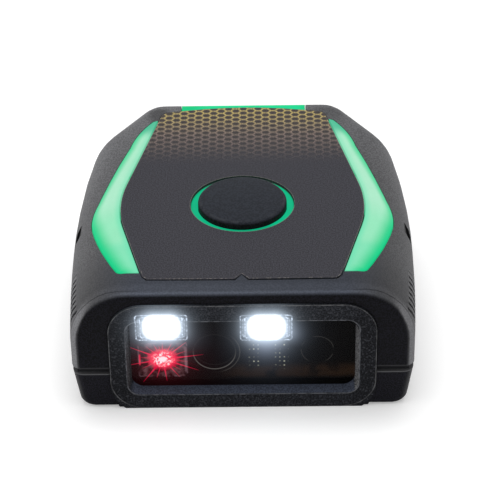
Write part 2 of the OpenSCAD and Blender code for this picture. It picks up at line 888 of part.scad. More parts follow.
module trigger_button() color("#303238") from_front() translate([0, trigger_y, 0]) {
    difference() {
        translate([0, 0, cap_z]) rotate_extrude() polygon([
            [0, 0], [cap_r, 0],
            each [for (t = [0:22.5:90])
                [cap_r - cap_edge + cap_edge * cos(t), cap_h - cap_edge + cap_edge * sin(t)]],
            [0, cap_h]
        ]);
        translate([0, 0, cap_z - cut]) cylinder(r = cap_r - cap_skirt, h = cap_h - cap_top_t + cut);
    }
    translate([0, 0, stem_z]) cylinder(r = stem_r, h = cap_z + cap_h - cap_top_t - stem_z + overlap);
}

module button_clip() color("#b8bcc0") from_front() translate([0, trigger_y, clip_z]) difference() {
    cylinder(r = stem_r + clip_w, h = clip_t);
    translate([0, 0, -cut]) cylinder(r = stem_r, h = past);
}

module button_seal() color("#505458") from_front() translate([0, trigger_y, well_z]) difference() {
    cylinder(r = cap_r - cap_skirt - seal_side, h = seal_h);
    translate([0, 0, -cut]) cylinder(r = stem_r + slide_gap, h = past);
}

module trigger_switch() color("#1c1c20") from_front() difference() {
    block(0, trigger_y - switch_w / 2, board_top_z, switch_w, switch_w, switch_h);
    translate([0, trigger_y, board_top_z + switch_floor])
        cylinder(r = plunger_r + slide_gap, h = past);
}

module switch_plunger() color("#d8d8d0") from_front()
    translate([0, trigger_y, stem_z - plunger_h]) cylinder(r = plunger_r, h = plunger_h);

module main_board() color("#1f6b3a") from_front() difference() {
    translate([0, 0, board_z]) linear_extrude(board_t) polygon([
        [-main_board_w / 2, board_front_y], [main_board_w / 2, board_front_y],
        [main_board_w / 2, board_neck_y], [board_neck_w / 2, board_neck_y + board_neck_l],
        [board_neck_w / 2, board_rear_y], [-board_neck_w / 2, board_rear_y],
        [-board_neck_w / 2, board_neck_y + board_neck_l], [-main_board_w / 2, board_neck_y]
    ]);
    both_sides() for (p = post_places)
        translate([p.x, p.y, board_z - cut]) cylinder(r = board_screw_r + fit_gap, h = past);
}

module radio_shield() color("#c8ccd0") from_front() difference() {
    block(0, shield_y, board_top_z, shield_w, shield_l, shield_h);
    block(0, shield_y + shield_t, board_top_z - cut,
        shield_w - 2 * shield_t, shield_l - 2 * shield_t, shield_h - shield_t + cut);
}

module status_leds() color("#e8fff0") from_front() both_sides() for (y = guide_legs)
    block(guide_inner(y) + guide_leg_in, y - led_w / 2, board_top_z, led_w, led_w, led_h);

module buzzer() color("#141416") from_front() difference() {
    block(-buzzer_x, buzzer_y, board_z - buzzer_h, buzzer_w, buzzer_w, buzzer_h);
    translate([-buzzer_x, buzzer_y + buzzer_w / 2, board_z - buzzer_h - cut])
        cylinder(r = buzzer_hole_r, h = 2 * cut);
}

module vibration_motor() color("#c0c4c8") from_front()
    translate([buzzer_x, buzzer_y + buzzer_w / 2, board_z - motor_h])
        cylinder(r = motor_r, h = motor_h);

module flex_cable() color("#d08830") from_front()
    translate([flex_w / 2 - flex_x, 0, 0]) rotate([90, 0, -90]) linear_extrude(flex_w) polygon([
        [-flex_y, flex_z], [-flex_y, flex_z + flex_rise], [-flex_y - flex_bend, board_z],
        [-flex_y - flex_bend - flex_tail, board_z],
        [-flex_y - flex_bend - flex_tail, board_z - flex_t], [-flex_y - flex_bend, board_z - flex_t],
        [-flex_y - flex_t, flex_z + flex_rise - flex_t / 2], [-flex_y - flex_t, flex_z]
    ]);

module battery() color("#8a9096") from_front()
    translate([0, battery_y + battery_l / 2, floor_z + battery_pad_t])
        linear_extrude(battery_h) rounded_rect(battery_w, battery_l, battery_r);

module battery_pad() color("#3a3a3a") from_front()
    block(0, battery_y + pad_in, floor_z,
        battery_w - 2 * pad_in, battery_l - 2 * pad_in, battery_pad_t);

module contact_holder() color("#101010") from_front() difference() {
    block(0, contact_y - holder_w / 2, floor_z, contact_span + 2 * holder_end, holder_w, holder_h);
    for (i = [0:contact_count - 1])
        translate([contact_x(i), contact_y, floor_z - cut]) cylinder(r = contact_r, h = past * 2);
}

module charging_contacts() color("#d8b24a") from_front() for (i = [0:contact_count - 1])
    translate([contact_x(i), contact_y, foot_h + contact_sink])
        cylinder(r = contact_r, h = floor_z + holder_h + contact_tail - foot_h - contact_sink);

// Recess for a lens block and, behind it, for its lamp
module light_pocket(x, z, w, h) {
    block(x, optics_y - cut, z - h / 2 - lens_gap, w + 2 * lens_gap, lens_t + cut, h + 2 * lens_gap);
    block(x, optics_y, z - led_seat / 2, led_seat, lens_t + led_h, led_seat);
}

module engine_chassis() color("#161618") from_front() difference() {
    union() {
        block(camera_x, optics_y, engine_floor_z, engine_w, engine_d, engine_h);
        for (x = engine_screw_x)
            block(x, engine_screw_y - ear_l / 2, engine_floor_z, ear_w, ear_l, ear_t);
        translate([camera_x, optics_y - collar_t, camera_z]) rotate([-90, 0, 0])
            cylinder(r = barrel_r + collar_w, h = collar_t + cut);
    }
    light_pocket(left_light_x, light_z, light_lens_w, light_lens_h);
    light_pocket(right_light_x, light_z, light_lens_w, light_lens_h);
    light_pocket(left_light_x, aimer_z, light_lens_w, aimer_lens_h);
    light_pocket(right_light_x, aimer_z, lower_lens_w, aimer_lens_h);
    block(camera_x, optics_y - cut, light_z - slot_h / 2, slot_w, cut + slot_d, slot_h);
    translate([camera_x, optics_y - cut, camera_z]) rotate([-90, 0, 0])
        cylinder(r = barrel_r + lens_gap, h = cut + barrel_y + barrel_l - optics_y);
    translate([camera_x, optics_y, camera_z]) rotate([-90, 0, 0])
        cylinder(r = barrel_r - barrel_seat, h = engine_d);
    block(camera_x, engine_back_y - sensor_room, camera_z - sensor_w / 2 - sensor_side / 2,
        sensor_w + sensor_side, sensor_room + cut, sensor_w + sensor_side);
    for (x = engine_screw_x)
        translate([x, engine_screw_y, engine_floor_z - cut])
            cylinder(r = engine_screw_r + fit_gap, h = ear_t + 2 * cut);
}

module engine_board() color("#1f5f6b") from_front()
    block(camera_x, engine_back_y, engine_floor_z, engine_w, board_t, engine_h);

module engine_bracket() color("#1a1a1c") from_front() difference() {
    union() {
        block(0, optics_y, floor_z, bracket_w, bracket_t, bracket_h);
        block(0, optics_y, floor_z, bracket_w - 2 * bracket_post, engine_d, engine_floor_z - floor_z);
        for (x = engine_screw_x)
            block(x, engine_screw_y - ear_l / 2, floor_z, ear_w, ear_l, engine_floor_z - floor_z);
    }
    block(0, optics_y - cut, engine_floor_z,
        bracket_w - 2 * bracket_post, bracket_t + 2 * cut, engine_h + fit_gap);
    for (x = engine_screw_x)
        translate([x, engine_screw_y, floor_z - cut]) cylinder(r = engine_screw_r + fit_gap, h = past);
}

module lens_barrel() color("#0e0e10") from_front()
    translate([camera_x, barrel_y, camera_z]) rotate([-90, 0, 0]) difference() {
        cylinder(r = barrel_r, h = barrel_l);
        translate([0, 0, -cut]) cylinder(r = camera_lens_r, h = cut + camera_lens_y);
        translate([0, 0, -cut]) cylinder(r = camera_lens_r - barrel_t, h = barrel_l + 2 * cut);
    }

module camera_lens() color("#20283a", 0.7) from_front()
    translate([camera_x, barrel_y + camera_lens_y - lens_bulge, camera_z]) rotate([-90, 0, 0])
        intersection() {
            cylinder(r = camera_lens_r, h = lens_bulge);
            translate([0, 0, bulge_r]) sphere(r = bulge_r);
        }

module image_sensor() color("#303040") from_front()
    block(camera_x, engine_back_y - sensor_t, camera_z - sensor_h / 2, sensor_w, sensor_t, sensor_h);

module light_lens(x, z, w, h) {
    difference() {
        block(x, optics_y, z - h / 2, w, lens_t, h);
        translate([x, optics_y - lens_dish_r + lens_dish_d, z]) rotate([-90, 0, 0])
            sphere(r = lens_dish_r);
    }
}

module left_light_lens() color("#f4f8ff", 0.5) from_front()
    light_lens(left_light_x, light_z, light_lens_w, light_lens_h);

module right_light_lens() color("#f4f8ff", 0.5) from_front()
    light_lens(right_light_x, light_z, light_lens_w, light_lens_h);

module lower_light_lens() color("#d8e0f0", 0.5) from_front()
    light_lens(right_light_x, aimer_z, lower_lens_w, aimer_lens_h);

module aimer_lens() color("#ffd8d8", 0.5) from_front()
    light_lens(left_light_x, aimer_z, light_lens_w, aimer_lens_h);

// Lamp behind the lens block at x, z
module lamp(x, z) {
    block(x, optics_y + lens_t, z - lamp_w / 2, lamp_w, led_h, lamp_w);
}

module white_leds() color("#fffff0") from_front() {
    lamp(left_light_x, light_z);
    lamp(right_light_x, light_z);
}

module aimer_led() color("#ff2040") from_front() lamp(left_light_x, aimer_z);

module side_optic() color("#121214") from_front() difference() {
    block(side_optic_x, optics_y, engine_floor_z, side_optic_w, side_optic_d, engine_h);
    translate([side_lens_x, optics_y - cut, side_lens_z]) rotate([-90, 0, 0])
        cylinder(r = side_lens_r, h = cut + side_lens_d);
}

module side_lens() color("#281c18", 0.8) from_front()
    translate([side_lens_x, optics_y + side_lens_d - side_lens_t, side_lens_z])
        rotate([-90, 0, 0]) cylinder(r = side_lens_r, h = side_lens_t);

// Screw that points up, with the underside of its head on z = 0
module screw(head_r, head_h, shank_r, shank_l) {
    difference() {
        translate([0, 0, -head_h]) cylinder(r = head_r, h = head_h);
        translate([0, 0, -head_h - cut]) cylinder(r = head_r * 0.5, h = cut + head_h * 0.6, $fn = 6);
    }
    translate([0, 0, -overlap]) cylinder(r = shank_r, h = shank_l + overlap);
}

module housing_screws() color("#a0a4a8") from_front() both_sides() for (p = screw_places)
    translate([p.x, p.y, screw_seat_z])
        screw(screw_head_r, screw_head_h, screw_r, housing_screw_l);

module board_screws() color("#a0a4a8") from_front() both_sides() for (p = post_places)
    translate([p.x, p.y, board_z])
        screw(board_head_r, board_head_h, board_screw_r, board_t + board_screw_l - screw_end);

module engine_screws() color("#a0a4a8") from_front() for (x = engine_screw_x)
    translate([x, engine_screw_y, engine_screw_z]) rotate([180, 0, 0])
        screw(engine_head_r, engine_head_h, engine_screw_r, engine_screw_l);

upper_housing();
lower_housing();
housing_gasket();
window_bezel();
scan_window();
window_gasket();
top_label();
left_light_guide();
right_light_guide();
rear_light_guide();
trigger_light_ring();
trigger_button();
button_clip();
button_seal();
trigger_switch();
switch_plunger();
main_board();
radio_shield();
status_leds();
buzzer();
vibration_motor();
flex_cable();
battery();
battery_pad();
contact_holder();
charging_contacts();
engine_chassis();
engine_board();
engine_bracket();
lens_barrel();
camera_lens();
image_sensor();
left_light_lens();
right_light_lens();
lower_light_lens();
aimer_lens();
white_leds();
aimer_led();
side_optic();
side_lens();
housing_screws();
board_screws();
engine_screws();
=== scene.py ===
"""Looks of the wearable barcode scanner.

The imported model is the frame. Each operator below dresses one group of its pieces, and the last
one sets the floor, the lamps and the camera. Lengths in finishes are millimetres, and lengths of
objects are metres.
"""

import json
import math

import bpy
import numpy as np
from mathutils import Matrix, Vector

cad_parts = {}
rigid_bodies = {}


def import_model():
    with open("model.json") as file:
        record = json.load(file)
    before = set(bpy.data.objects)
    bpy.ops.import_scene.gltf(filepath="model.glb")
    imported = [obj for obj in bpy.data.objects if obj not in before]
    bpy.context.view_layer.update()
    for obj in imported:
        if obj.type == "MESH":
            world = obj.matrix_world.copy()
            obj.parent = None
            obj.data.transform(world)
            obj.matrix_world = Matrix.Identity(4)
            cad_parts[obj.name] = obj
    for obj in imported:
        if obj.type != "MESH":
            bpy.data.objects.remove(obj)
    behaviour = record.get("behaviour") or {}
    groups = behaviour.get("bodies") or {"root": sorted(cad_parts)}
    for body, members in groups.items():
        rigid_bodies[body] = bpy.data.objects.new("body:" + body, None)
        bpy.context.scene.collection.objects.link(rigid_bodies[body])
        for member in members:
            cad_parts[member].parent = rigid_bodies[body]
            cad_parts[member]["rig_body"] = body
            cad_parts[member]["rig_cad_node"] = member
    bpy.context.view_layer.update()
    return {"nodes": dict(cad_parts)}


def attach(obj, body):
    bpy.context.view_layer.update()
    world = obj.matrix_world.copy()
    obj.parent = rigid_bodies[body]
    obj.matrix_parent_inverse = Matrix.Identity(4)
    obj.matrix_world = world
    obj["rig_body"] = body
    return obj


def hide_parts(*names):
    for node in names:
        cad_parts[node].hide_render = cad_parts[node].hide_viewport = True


bl_info = {
    "name": "Wearable scanner looks",
    "version": (1, 0, 0),
    "blender": (4, 5, 0),
    "location": "3D View > Sidebar > Scanner",
    "description": "Dresses the packed scanner and sets its floor, lamps and camera",
    "category": "Object",
}

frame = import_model()

MM = 1000.0  # millimetres in a metre
ROOT_3 = math.sqrt(3.0)
WHITE = (1.0, 1.0, 1.0)
SEAL_BLACK = (0.009, 0.009, 0.011)

# Places on the housing, in millimetres
FRONT = -26.3  # y of the front face
TRIGGER = (0.0, -3.7)  # x and y of the trigger's axis
POCKET = (21.7, 14.8)  # the latch pockets: how far behind the front face, and z
SIDE_LEAN = 0.2126  # how far a side comes in for each millimetre up
GRIP_LEAN = 0.466  # how far a grip groove comes forward for each millimetre up
GRIP_HALF_PITCH = 0.65
UPPER_RIM_HIGHLIGHT = (7.10, 7.02)  # z over which the upper shell's rim gets a painted highlight
LOWER_RIM_HIGHLIGHT = (5.66, 5.76)  # z over which the lower shell's rim gets a painted highlight

# x and z of what the scan engine carries
LAMPS = ((-11.4, 11.5), (3.3, 11.5))
AIMER = (-11.4, 6.1)
CAMERA = (-4.1, 7.15)
CAMERA_RADIUS = 2.2
SIDE_OPTIC = (10.55, 7.35)
SIDE_OPTIC_RADIUS = 1.9

# x and z of the lamps' glare painted on the window frame and on the pane: higher up, as these
# lie in front of them and are seen from above
FRAME_GLARE = ((-11.32, 14.23), (3.41, 14.07))
PANE_GLARE = ((-11.44, 12.94), (3.40, 12.77))
PANE_STAR = (-11.44, 7.35)
PANE_CAMERA = (-4.05, 8.58)
CAMERA_DISC = 3.02  # radius of the painted dark disc, the shade of the camera's barrel, on the pane
PANE_OPTIC = (10.6, 8.8)

# Rectangles with round corners, in x and z: middle, half size and radius of the corners
BEZEL = ((0.0, 8.9), (18.95, 8.9), 4.8)
BEZEL_HOLE = ((0.0, 8.75), (16.5, 6.35), 1.8)
AIMER_BLOCK = ((-11.44, 7.25), (3.55, 3.0), 0.3)


# ---------------------------------------------------------------- finishes


class Value:
    """One value in a finish: a socket, with the operators that the finishes are written in."""

    def __init__(self, tree, socket):
        self.tree = tree
        self.socket = socket

    def is_vector(self):
        return self.socket.type in {"VECTOR", "RGBA"}

    def join(self, operation, first, second):
        """A Math node, or a Vector Math node where either side is a colour or vector."""
        sides = (first, second)
        wide = any(
            side.is_vector() if isinstance(side, Value) else isinstance(side, (tuple, list))
            for side in sides
        )
        node = self.tree.nodes.new("ShaderNodeVectorMath" if wide else "ShaderNodeMath")
        node.operation = operation
        for socket, side in zip(node.inputs, sides):
            if isinstance(side, Value):
                self.tree.links.new(side.socket, socket)
            elif wide and not isinstance(side, (tuple, list)):
                socket.default_value = (side, side, side)
            else:
                socket.default_value = tuple(side)[:3] if wide else side
        return Value(self.tree, node.outputs[0])

    def __add__(self, other):
        return self.join("ADD", self, other)

    def __radd__(self, other):
        return self.join("ADD", other, self)

    def __sub__(self, other):
        return self.join("SUBTRACT", self, other)

    def __rsub__(self, other):
        return self.join("SUBTRACT", other, self)

    def __mul__(self, other):
        return self.join("MULTIPLY", self, other)

    def __rmul__(self, other):
        return self.join("MULTIPLY", other, self)

    def __truediv__(self, other):
        return self.join("DIVIDE", self, other)

    def __rtruediv__(self, other):
        return self.join("DIVIDE", other, self)

    def __pow__(self, other):
        return self.join("POWER", self, other)

    def at_least(self, other):
        return self.join("MAXIMUM", self, other)

    def at_most(self, other):
        return self.join("MINIMUM", self, other)

    def single(self, operation):
        """A Math node with this value alone."""
        node = self.tree.nodes.new("ShaderNodeMath")
        node.operation = operation
        self.tree.links.new(self.socket, node.inputs[0])
        return Value(self.tree, node.outputs[0])

    def __abs__(self):
        return self.single("ABSOLUTE")

    def root(self):
        return self.single("SQRT")

    def shrink(self):
        """1 at nought, falling off to nothing as the value grows, as a glow does."""
        return 1.0 / (1.0 + self * self) ** 2.0


def largest(values):
    """The largest of several values at each point."""
    most, *others = values
    for other in others:
        most = most.at_least(other)
    return most


class Finish:
    """A material in the making, with its shader and each point's place in millimetres."""

    def __init__(self, name, **sockets):
        self.material = bpy.data.materials.new(name)
        self.material.use_nodes = True
        self.tree = self.material.node_tree
        self.shader = self.tree.nodes["Principled BSDF"]
        for socket, value in sockets.items():
            self.shader.inputs[socket.replace("_", " ")].default_value = value
        where = self.node("ShaderNodeTexCoord", {}, {}, "Object")
        self.place = self.node("ShaderNodeMapping", {}, {"Vector": where, "Scale": (MM, MM, MM)})
        self.x, self.y, self.z = self.split(self.place)

    def node(self, kind, settings, values, output=0):
        """Any node: its settings first, then the values or links of its sockets."""
        made = self.tree.nodes.new(kind)
        for setting, value in settings.items():
            setattr(made, setting, value)
        for socket, value in values.items():
            if isinstance(value, Value):
                self.tree.links.new(value.socket, made.inputs[socket])
            else:
                made.inputs[socket].default_value = value
        return Value(self.tree, made.outputs[output])

    def split(self, vector):
        """The three numbers of a vector."""
        made = self.tree.nodes.new("ShaderNodeSeparateXYZ")
        self.tree.links.new(vector.socket, made.inputs[0])
        return [Value(self.tree, socket) for socket in made.outputs]

    def step(self, value, low, high):
        """A smooth rise from 0 at low to 1 at high, or a fall from 1 if low is above high."""
        falls = low > high
        return self.node(
            "ShaderNodeMapRange",
            {"interpolation_type": "SMOOTHSTEP", "clamp": True},
            {
                "Value": value,
                "From Min": high if falls else low,
                "From Max": low if falls else high,
                "To Min": 1.0 if falls else 0.0,
                "To Max": 0.0 if falls else 1.0,
            },
        )

    def band(self, value, middle, outer, inner):
        """1 within the inner distance of the middle, falling to 0 at the outer distance."""
        return self.step(abs(value - middle), outer, inner)

    def fold(self, value, length):
        """The value folded to and fro between 0 and the length."""
        return self.node("ShaderNodeMath", {"operation": "PINGPONG"}, {0: value, 1: length})

    def blend(self, factor, first, second):
        """The first colour where the factor is 0 and the second where it is 1."""
        sides = [side if isinstance(side, Value) else (*side[:3], 1.0) for side in (first, second)]
        return self.node(
            "ShaderNodeMix", {"data_type": "RGBA"}, {0: factor, 6: sides[0], 7: sides[1]}, 2
        )

    def grain(self, size, detail=2.0, stretch=(1.0, 1.0, 1.0)):
        """Even noise from 0 to 1, its spots about the size given, in millimetres."""
        scale = tuple(1.0 / (size * part) for part in stretch)
        place = self.node("ShaderNodeMapping", {}, {"Vector": self.place, "Scale": scale})
        return self.node(
            "ShaderNodeTexNoise", {}, {"Vector": place, "Scale": 1.0, "Detail": detail}
        )

    def attribute(self, name):
        """A number that is noted at each point of the mesh."""
        return self.node("ShaderNodeAttribute", {"attribute_name": name}, {}, "Fac")

    def distance(self, across, up, centre, reach=(1.0, 1.0)):
        """Distance from a centre in a plane, in units of the reach each way."""
        first = (across - centre[0]) / reach[0]
        second = (up - centre[1]) / reach[1]
        return (first * first + second * second).root()

    def outline_distance(self, centre, half, radius):
        """How far a point lies outside a rectangle with round corners, in x and z.

        It is below 0 inside, and never less than minus the radius.
        """
        first = (abs(self.x - centre[0]) - (half[0] - radius)).at_least(0.0)
        second = (abs(self.z - centre[1]) - (half[1] - radius)).at_least(0.0)
        return (first * first + second * second).root() - radius

    def bump(self, height, strength, distance):
        """Relief: height from 0 to 1, over the distance given in millimetres."""
        made = self.node(
            "ShaderNodeBump",
            {},
            {"Height": height, "Strength": strength, "Distance": distance / MM},
        )
        self.feed("Normal", made)

    def feed(self, socket, value):
        """Links a value to one of the shader's sockets."""
        self.tree.links.new(value.socket, self.shader.inputs[socket])

    def glow(self, colour, strength=1.0):
        """Light that the surface gives off."""
        self.feed("Emission Color", colour)
        self.shader.inputs["Emission Strength"].default_value = strength


finishes = {}


def made_once(name, maker, *details):
    """The finish of that name, made from the details the first time that it is asked for."""
    if name not in finishes:
        finishes[name] = maker("look_" + name, *details)
    return finishes[name]


def tone(f, colour, level):
    """A colour times a varying level."""
    if not isinstance(colour, Value):
        colour = tuple(colour)[:3]
    return f.node("ShaderNodeVectorMath", {"operation": "SCALE"}, {0: colour, "Scale": level})


def speckle(f, size):
    """Sharp grain from 0 to 1, as a spark-eroded mould leaves it."""
    return f.step(f.grain(size, 0.0), 0.36, 0.64)


def housing_plastic(name, look, top):
    """Soft-touch housing: grained grey above with painted light, near black in front as painted
    shade, with its mould lines and painted rim highlights.
    """
    f = Finish(name, Specular_IOR_Level=0.08)
    fine = f.grain(0.17, 2.5)
    speck = speckle(f, 0.23)
    along = f.y - FRONT
    level = 0.95 + 0.10 * f.grain(5.0) + (0.24 + 0.20 * f.step(along, 5.0, 14.0)) * (speck - 0.5)
    # Painted shade: the front face is near black, darker still on the upper shell
    dark = tone(f, look.front_shade_colour, 0.12 + 1.56 * speckle(f, 0.17))
    if top:
        level = level * top_painted_light(f, along)
        side = f.step(abs(f.x), 21.6, 23.2)
        front = f.step(along * (1.0 + 1.3 * side), 0.50, 0.06)
        dark = dark * 0.65
        rim = f.step(f.z, *UPPER_RIM_HIGHLIGHT) * 0.35
    else:
        # Painted light: the lower shell is lighter toward its rear
        level = level * (1.0 + 0.35 * f.step(along, 4.0, 24.0))
        front = f.step(along, 0.80, 0.10)
        rim = f.step(f.z, *LOWER_RIM_HIGHLIGHT)
    # Painted reflection: round the trigger the upper shell is darker and bluer
    crown = f.step(abs(f.x), 22.0, 14.0) * f.step(along, 26.0, 18.0)
    colour = tone(f, f.blend(crown, look.top_colour, look.crown_reflection_colour), level)
    colour = f.blend(front, colour, dark)
    if top:
        # Painted shade on the floor of the latch pockets
        colour = f.blend(pocket_shade(f, along), colour, (0.003, 0.003, 0.004))
    # Painted highlights along the shells' rims at the seam
    colour = f.blend(rim * 0.8, colour, (0.110, 0.110, 0.115))
    f.feed("Base Color", colour)
    f.feed("Roughness", 0.52 + 0.16 * fine)
    f.bump(speck * 0.7 + fine * 0.3, 0.5, 0.014)
    return f.material


def top_painted_light(f, along):
    """Painted light and shade on the upper shell: lighter toward its rear, its left and both sides.
    """
    level = 0.78 + 0.30 * f.step(along, 3.0, 14.0) + 0.80 * f.step(along, 18.0, 52.0)
    level = level * (1.14 - 0.18 * f.step(f.x, -12.0, 12.0))
    level = level * (1.0 + 0.32 * f.step(abs(f.x), 18.5, 24.5))
    # Soft shade in the two rear corners of the film's recess
    left = f.step(f.distance(f.x, along, (-13.4, 49.0), (2.2, 3.4)), 1.2, 0.3)
    right = f.step(f.distance(f.x, along, (13.6, 49.4), (3.6, 3.6)), 1.3, 0.2)
    shade = (0.52 * left + 0.30 * right) * f.step(along, 51.1, 50.5)
    level = level * (1.0 - shade)
    # The rolled front edge catches the light, most at the shoulders
    ridge = f.step(along, 0.88, 0.42) * f.step(abs(f.x), 20.0, 15.0)
    level = level * (1.0 + 0.30 * f.step(along, 2.6, 1.4) + 0.98 * ridge)
    level = level * (1.0 + 1.30 * f.step(abs(f.x), 20.5, 23.0) * f.step(along, 1.9, 0.35))
    # A thin mould line runs along each shoulder behind that edge
    seam = abs(along - (0.75 + 0.35 * f.step(abs(f.x), 15.0, 20.0)))
    seam = f.step(seam, 0.13, 0.04) * f.step(abs(f.x), 13.0, 19.0) * f.step(f.z, 11.0, 13.0)
    level = level * (1.0 - 0.55 * seam)
    return level * grip_painted_light(f, along)


def grip_painted_light(f, along):
    """Painted shade in the grip grooves near the front of each side, with painted highlights on the
    ribs between.
    """
    groove = f.fold(along - 3.0 + (f.z - 12.8) * GRIP_LEAN, GRIP_HALF_PITCH)
    ribbed = f.step(abs(f.x), 21.0, 22.0) * f.step(along, 2.2, 2.6) * f.step(along, 11.6, 11.2)
    ribbed = ribbed * f.step(f.z, 9.6, 10.2) * f.step(f.z, 16.2, 15.6)
    return 1.0 + ribbed * (0.45 - 1.05 * f.step(groove, 0.34, 0.16))


def pocket_shade(f, along):
    """1 on the floor of the two latch pockets, which lie in deep shade."""
    behind, height = POCKET
    opening = f.band(along, behind, 1.42, 1.28) * f.band(f.z, height, 1.55, 1.40)
    return opening * f.step(abs(f.x) + (f.z - height) * SIDE_LEAN, 24.80, 24.62)


def label_film(name, look):
    """Printed film: a honeycomb at the rear that fades out forward on a plain violet grey."""
    f = Finish(name, Specular_IOR_Level=0.08)
    speck = speckle(f, 0.20)
    along = f.y - FRONT
    size = look.cell_size * MM
    apothem = ROOT_3 / 2.0 * size
    reach, middle = honeycomb(f, size)
    line = f.step(reach, apothem - look.line_width * MM, apothem - 0.03)
    core = f.step(middle, apothem, apothem * 0.62)
    zone = f.step(along, look.fade_start * MM, look.fade_end * MM)
    tint = f.blend(f.step(along, 41.5, 50.5), look.brown_colour, look.gold_colour)
    cell = f.blend(core, look.ring_colour, look.cell_colour)
    printed = f.blend(zone, look.ground_colour, cell)
    printed = f.blend(line * zone, printed, tint)
    printed = cut_edge(f, look, along, printed)
    f.feed("Base Color", printed * (0.66 + 0.60 * speck))
    f.feed("Roughness", 0.42 + 0.14 * speck)
    f.bump(speck, 0.3, 0.006)
    return f.material


def honeycomb(f, size):
    """How far each point is from the middle of its cell: as the cell's sides go, and as an oval."""
    repeat = (3.0 * size, ROOT_3 * size, 1.0)
    reach, middle = [], []
    # The cells lie in two grids, the second half a repeat on. Both start 60 repeats before the
    # origin, because the remainder of a negative number is negative.
    for start in (60.5, 61.0):
        moved = f.place + (start * repeat[0], start * repeat[1], 0.0)
        rest = f.node("ShaderNodeVectorMath", {"operation": "MODULO"}, {0: moved, 1: repeat})
        across, up, _ = f.split(rest - (0.5 * repeat[0], 0.5 * repeat[1], 0.0))
        across, up = abs(across), abs(up)
        reach.append(up.at_least(across * (ROOT_3 / 2.0) + up * 0.5))
        middle.append((across * across + up * up * 3.0).root())
    return reach[0].at_most(reach[1]), middle[0].at_most(middle[1])


def cut_edge(f, look, along, printed):
    """The film's colour with its light cut edge, and in front a painted shadow in the gap inside
    its recess.
    """
    rim = f.attribute("edge")
    ahead = f.step(along, 6.0, 4.0)
    broken = 0.06 + 0.60 * f.step(f.grain(0.45, 1.0), 0.44, 0.62)
    cut = f.step(rim, 0.05, 0.30) * f.step(rim, 0.62, 0.42) * broken * ahead
    cut = cut.at_least(f.step(rim, 0.55, 1.0) * (1.0 - ahead) * 0.5)
    printed = f.blend(cut, printed, look.cut_colour)
    # Painted shadow of the gap, deeper toward the right
    gap = f.step(rim, 0.42, 0.62) * ahead * (0.40 + 0.58 * f.step(f.x, -3.0, 5.0))
    return f.blend(gap, printed, (0.006, 0.008, 0.012))


WIRES = (
    # Lines of light round a white lamp: half their width and height, and their strength
    ((3.62, 2.12), 0.38),
    ((2.98, 1.78), 0.40),
    ((3.30, 1.60), 0.22),
)


def lamp_glare(f, look, centres):
    """Colour and strength of the two white lamps' glare round these centres, in x and z."""
    cores, halos, nets = [], [], []
    sparks = 0.30 + 0.90 * f.step(f.grain(0.42, 1.0), 0.46, 0.62)
    for x, z in centres:
        blob = f.outline_distance((x, z), (2.50, 1.95), 1.55)
        cores.append(f.step(blob, 0.55, -0.45))
        out = ((blob + 0.12) * 0.47).at_least(0.0)
        halos.append((out * 1.5).shrink() * 0.94 + out.shrink() * 0.02)
        net = largest(
            f.band(f.outline_distance((x - 0.05, z - 0.05), half, 0.35), 0.0, 0.15, 0.05) * part
            for half, part in WIRES
        )
        corner = f.step(abs(f.x - x), 2.5, 3.1) * f.step(abs(f.z - z), 0.9, 1.5)
        nets.append(net * sparks * (1.0 + corner))
    core, halo, net = largest(cores), largest(halos), largest(nets)
    colour = (
        tone(f, look.halo_colour, halo)
        + tone(f, look.wire_colour, net)
        + tone(f, WHITE, core * 1.3)
    )
    return colour, largest((core, halo, net))


def grained_rubber(name, look, light):
    """Coarse grained rubber of the window frame, with painted highlights along its edges and the
    lamps' glare painted on it as light.
    """
    f = Finish(name, Specular_IOR_Level=0.08)
    fine = f.grain(0.13)
    speck = speckle(f, 0.22)
    flakes = f.step(f.grain(0.30, 0.0), 0.60, 0.72)
    broken = 0.35 + 0.65 * f.step(f.grain(0.9), 0.40, 0.60)
    level = 0.22 + 0.95 * speck + 0.20 * f.grain(3.0)
    # Painted light: lighter along the frame's top and bottom, darker toward its sides
    level = level * (0.86 + 0.34 * f.step(f.z, 14.5, 16.5) + 0.30 * f.step(f.z, 2.8, 1.4))
    level = level * (1.0 - 0.24 * f.step(abs(f.x), 14.5, 17.5))
    colour = tone(f, look.bezel_colour, level)
    colour = f.blend(flakes * 0.34, colour, (0.080, 0.082, 0.094))
    face = f.step(f.y, FRONT - 0.2, FRONT - 0.26)
    outer = f.outline_distance(*BEZEL)
    # Painted highlight along the frame's outer edge
    edge_highlight = f.band(outer, -0.05, 0.12, 0.03) * face * broken * 0.65
    colour = f.blend(edge_highlight, colour, (0.16, 0.16, 0.165))
    hole = f.outline_distance(*BEZEL_HOLE)
    # Painted highlight along the edge of the frame's hole
    lip_highlight = f.band(hole, 0.03, 0.15, 0.04) * face * broken * 0.80
    colour = f.blend(lip_highlight, colour, (0.15, 0.155, 0.17))
    colour = inner_walls(f, look, colour, f.step(hole, 0.01, -0.03), speck, broken)
    f.feed("Base Color", colour)
    f.feed("Roughness", 0.60 + 0.20 * fine)
    f.bump(speck * 0.7 + fine * 0.3, 0.6, 0.02)
    # The white lamps' glare, painted on the frame as its own light
    glare, _ = lamp_glare(f, light, FRAME_GLARE)
    f.glow(glare * f.step(f.y, FRONT + 1.9, FRONT + 0.4))
    return f.material


